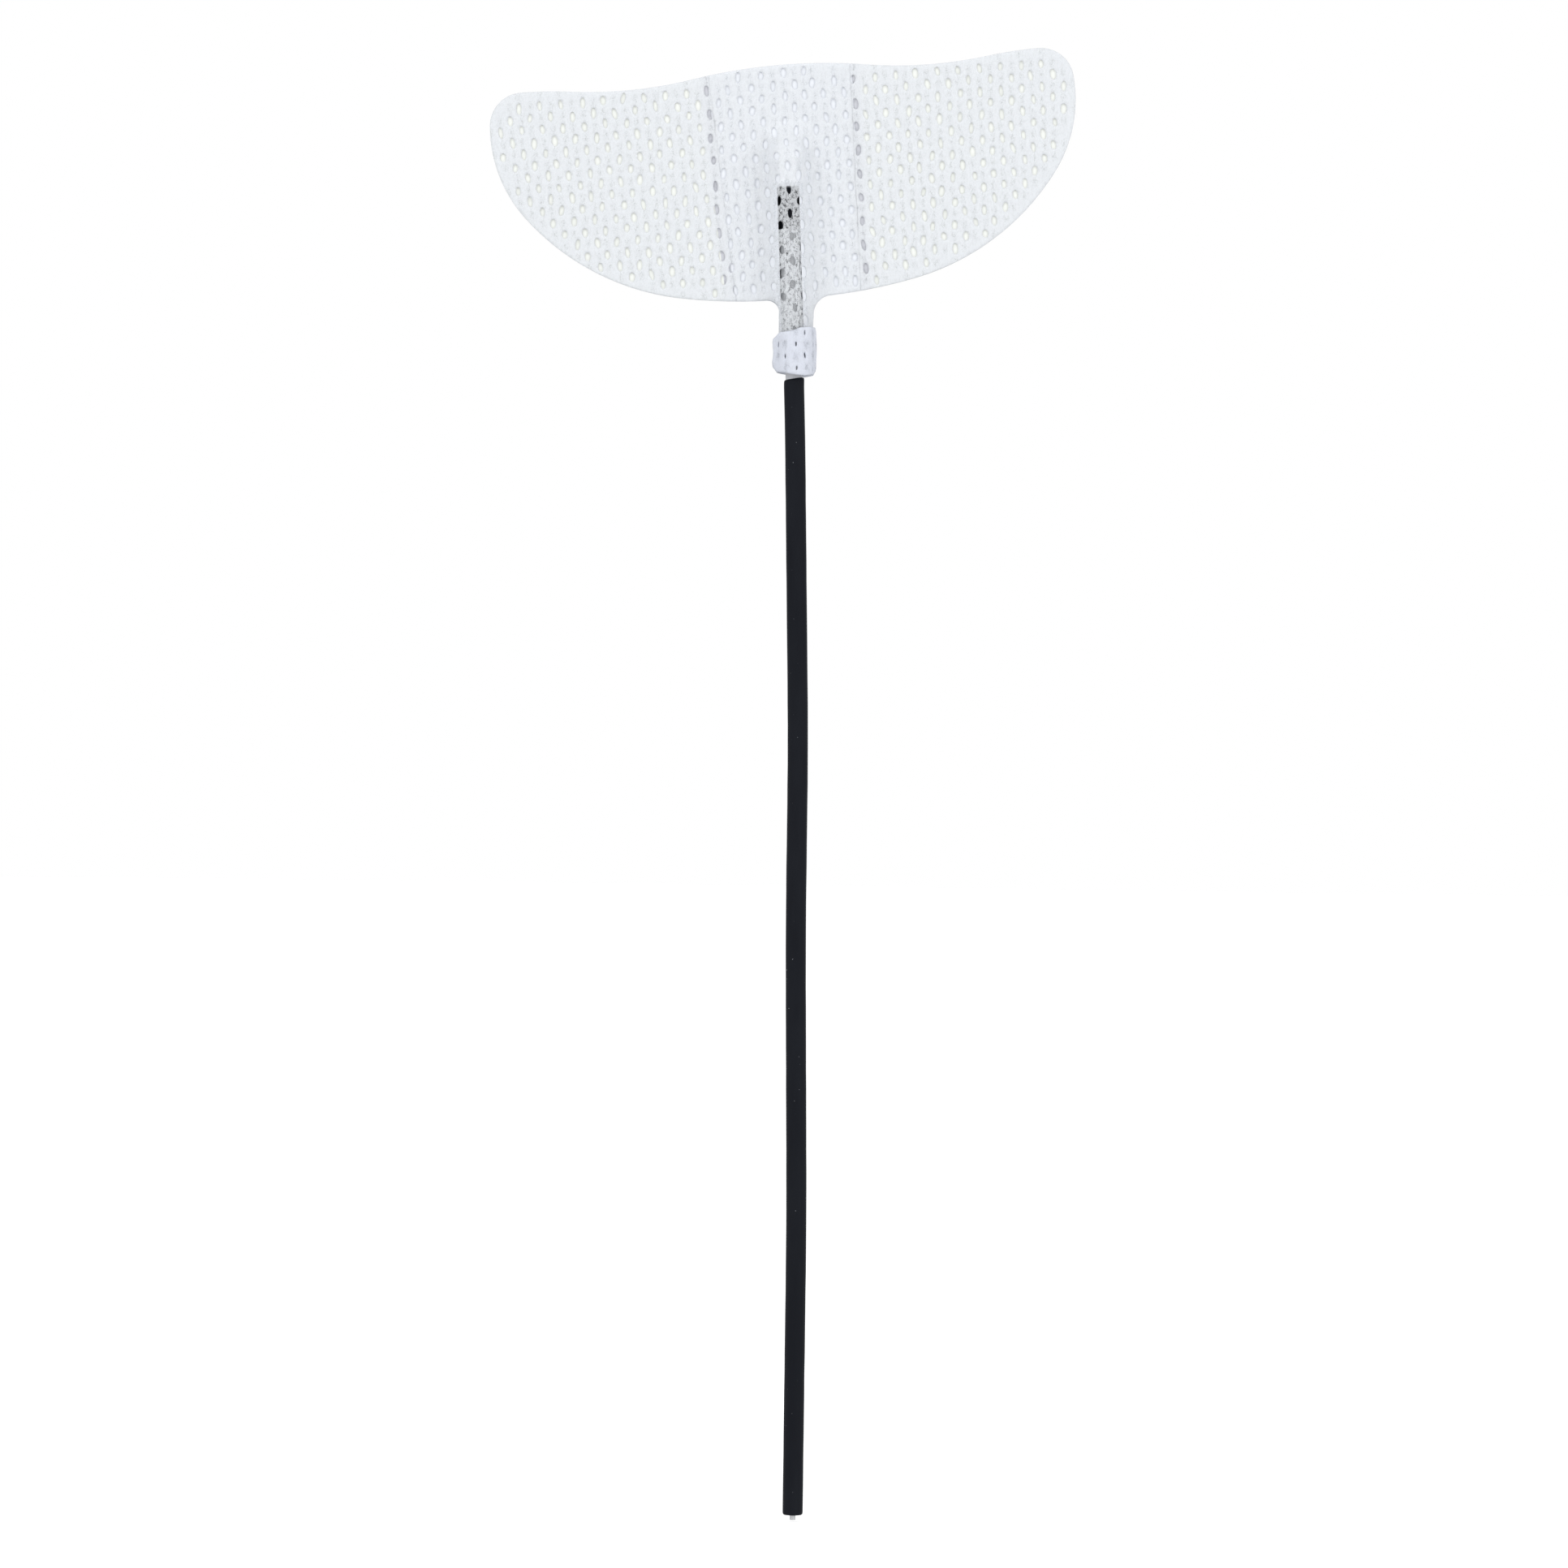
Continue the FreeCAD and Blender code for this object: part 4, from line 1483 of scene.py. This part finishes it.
def smooth_loop(corners: np.ndarray, count: int) -> np.ndarray:
    """A closed smooth curve through corners, with count points for each.

    Args:
        corners: the corners in order.
        count: the points for each corner.

    Returns:
        the curve's points.
    """
    points = []
    for number in range(len(corners)):
        a, b, c, d = (corners[(number + k) % len(corners)] for k in (-1, 0, 1, 2))
        for t in np.arange(count) / count:
            points.append(0.5 * (2 * b + (c - a) * t + (2 * a - 5 * b + 4 * c - d) * t ** 2
                                 + (3 * b - a - 3 * c + d) * t ** 3))
    return np.array(points)


# ------------------------------------------------------------------ the studio


@dataclass
class Studio:
    """A white floor and background, soft light, and a long-lens camera from the front."""

    aim: tuple = (-2.69, 0.0, 108.04)
    frame_width: float = 231.84
    lens: float = 150.0
    sensor: float = 36.0
    roll: float = math.radians(0.754)
    floor_drop: float = 0.3
    floor_radius: float = 6.0
    floor_glow: float = 0.5
    light_level: float = 0.72
    lamp_target: tuple = (0.0, 0.0, 0.14)
    lamps: tuple = (("key", (-0.7, -0.9, 0.9), 0.9, 7.6), ("fill", (0.8, -0.8, 0.45), 0.9, 4.8))

    def build(self) -> None:
        """Makes the camera, the lamps, the floor and the world."""
        distance = self.frame_width * self.lens / self.sensor
        camera = bpy.data.objects.new("camera", bpy.data.cameras.new("camera"))
        camera.data.lens = self.lens
        camera.data.sensor_width = self.sensor
        camera.data.clip_end = 20
        bpy.context.scene.collection.objects.link(camera)
        right = Vector((math.cos(self.roll), 0, math.sin(self.roll)))
        up = Vector((-math.sin(self.roll), 0, math.cos(self.roll)))
        turn = Matrix((right, up, (0, -1, 0))).transposed()
        place = (Vector(self.aim) - Vector((0, distance, 0))) * MM
        camera.matrix_world = Matrix.Translation(place) @ turn.to_4x4()
        bpy.context.scene.camera = camera
        self.floor()
        self.world()
        for one in self.lamps:
            self.lamp(*one)
        bpy.context.scene.view_settings.view_transform = "Standard"

    def lamp(self, name: str, place: tuple, size: float, power: float) -> None:
        """A square soft lamp aimed at the head.

        Args:
            name: the lamp's name.
            place: where it stands, in metres.
            size: its side in metres.
            power: its power in watts.
        """
        data = bpy.data.lights.new(name, "AREA")
        data.size = size
        data.energy = power
        lamp = bpy.data.objects.new(name, data)
        lamp.location = place
        turn = (Vector(self.lamp_target) - lamp.location).to_track_quat("-Z", "Y")
        lamp.rotation_euler = turn.to_euler()
        bpy.context.scene.collection.objects.link(lamp)

    def floor(self) -> None:
        """A round white floor that keeps a soft shadow."""
        bpy.ops.object.select_all(action="DESELECT")
        low = CAD_BOX[0].z - self.floor_drop * MM
        bpy.ops.mesh.primitive_circle_add(vertices=96, radius=self.floor_radius,
                                          fill_type="NGON", location=(0, 0, low))
        floor = bpy.context.object
        floor.name = "floor"
        graph = Graph("floor_white")
        path = graph.node("ShaderNodeLightPath", output="Is Camera Ray")
        glossy = graph.node("ShaderNodeLightPath", output="Is Glossy Ray")
        graph.set(Base_Color=colour(0.82, 0.82, 0.82), Roughness=0.9,
                  Emission_Color=colour(1, 1, 1),
                  Emission_Strength=(path + glossy) * self.floor_glow)
        dress(floor, graph.material)

    def world(self) -> None:
        """Even white light that the camera also sees as the background."""
        world = bpy.data.worlds.new("studio")
        world.use_nodes = True
        bpy.context.scene.world = world
        tree = world.node_tree
        background = tree.nodes["Background"]
        path = tree.nodes.new("ShaderNodeLightPath")
        seen = tree.nodes.new("ShaderNodeMath")
        seen.operation = "MAXIMUM"
        tree.links.new(path.outputs["Is Camera Ray"], seen.inputs[0])
        tree.links.new(path.outputs["Is Transmission Ray"], seen.inputs[1])
        strength = tree.nodes.new("ShaderNodeMapRange")
        strength.inputs["To Min"].default_value = self.light_level
        strength.inputs["To Max"].default_value = 1.0
        tree.links.new(seen.outputs[0], strength.inputs["Value"])
        tree.links.new(strength.outputs[0], background.inputs["Strength"])
        background.inputs["Color"].default_value = colour(1, 1, 1)


def main() -> None:
    """Builds the object piece by piece."""
    logging.basicConfig(level=logging.INFO, format="%(name)s: %(message)s")
    palette = Palette()
    line = StemLine()
    sleeve = node_points("upper_sleeve")
    top_z, foot_z = sleeve[:, 2].max() - SLEEVE_END, sleeve[:, 2].min() + SLEEVE_END
    top = np.array([line.x_at(top_z), top_z])
    foot = np.array([line.x_at(foot_z), foot_z])
    way = (top - foot) / np.linalg.norm(top - foot)
    head = Head(HeadPlane.read(), palette, top, way)
    wrapping = Wrapping(line, palette, ClothCutter(thickness=0.26, spacing=0.3))
    wrapping.build_band()
    wrapping.build_wrap()
    head.build_backing()
    head.build_cloths()
    head.dress_papers()
    stem = Stem(line, palette)
    stem.build_sleeve()
    stem.dress_nodes()
    Studio().build()


if __name__ == "__main__":
    main()
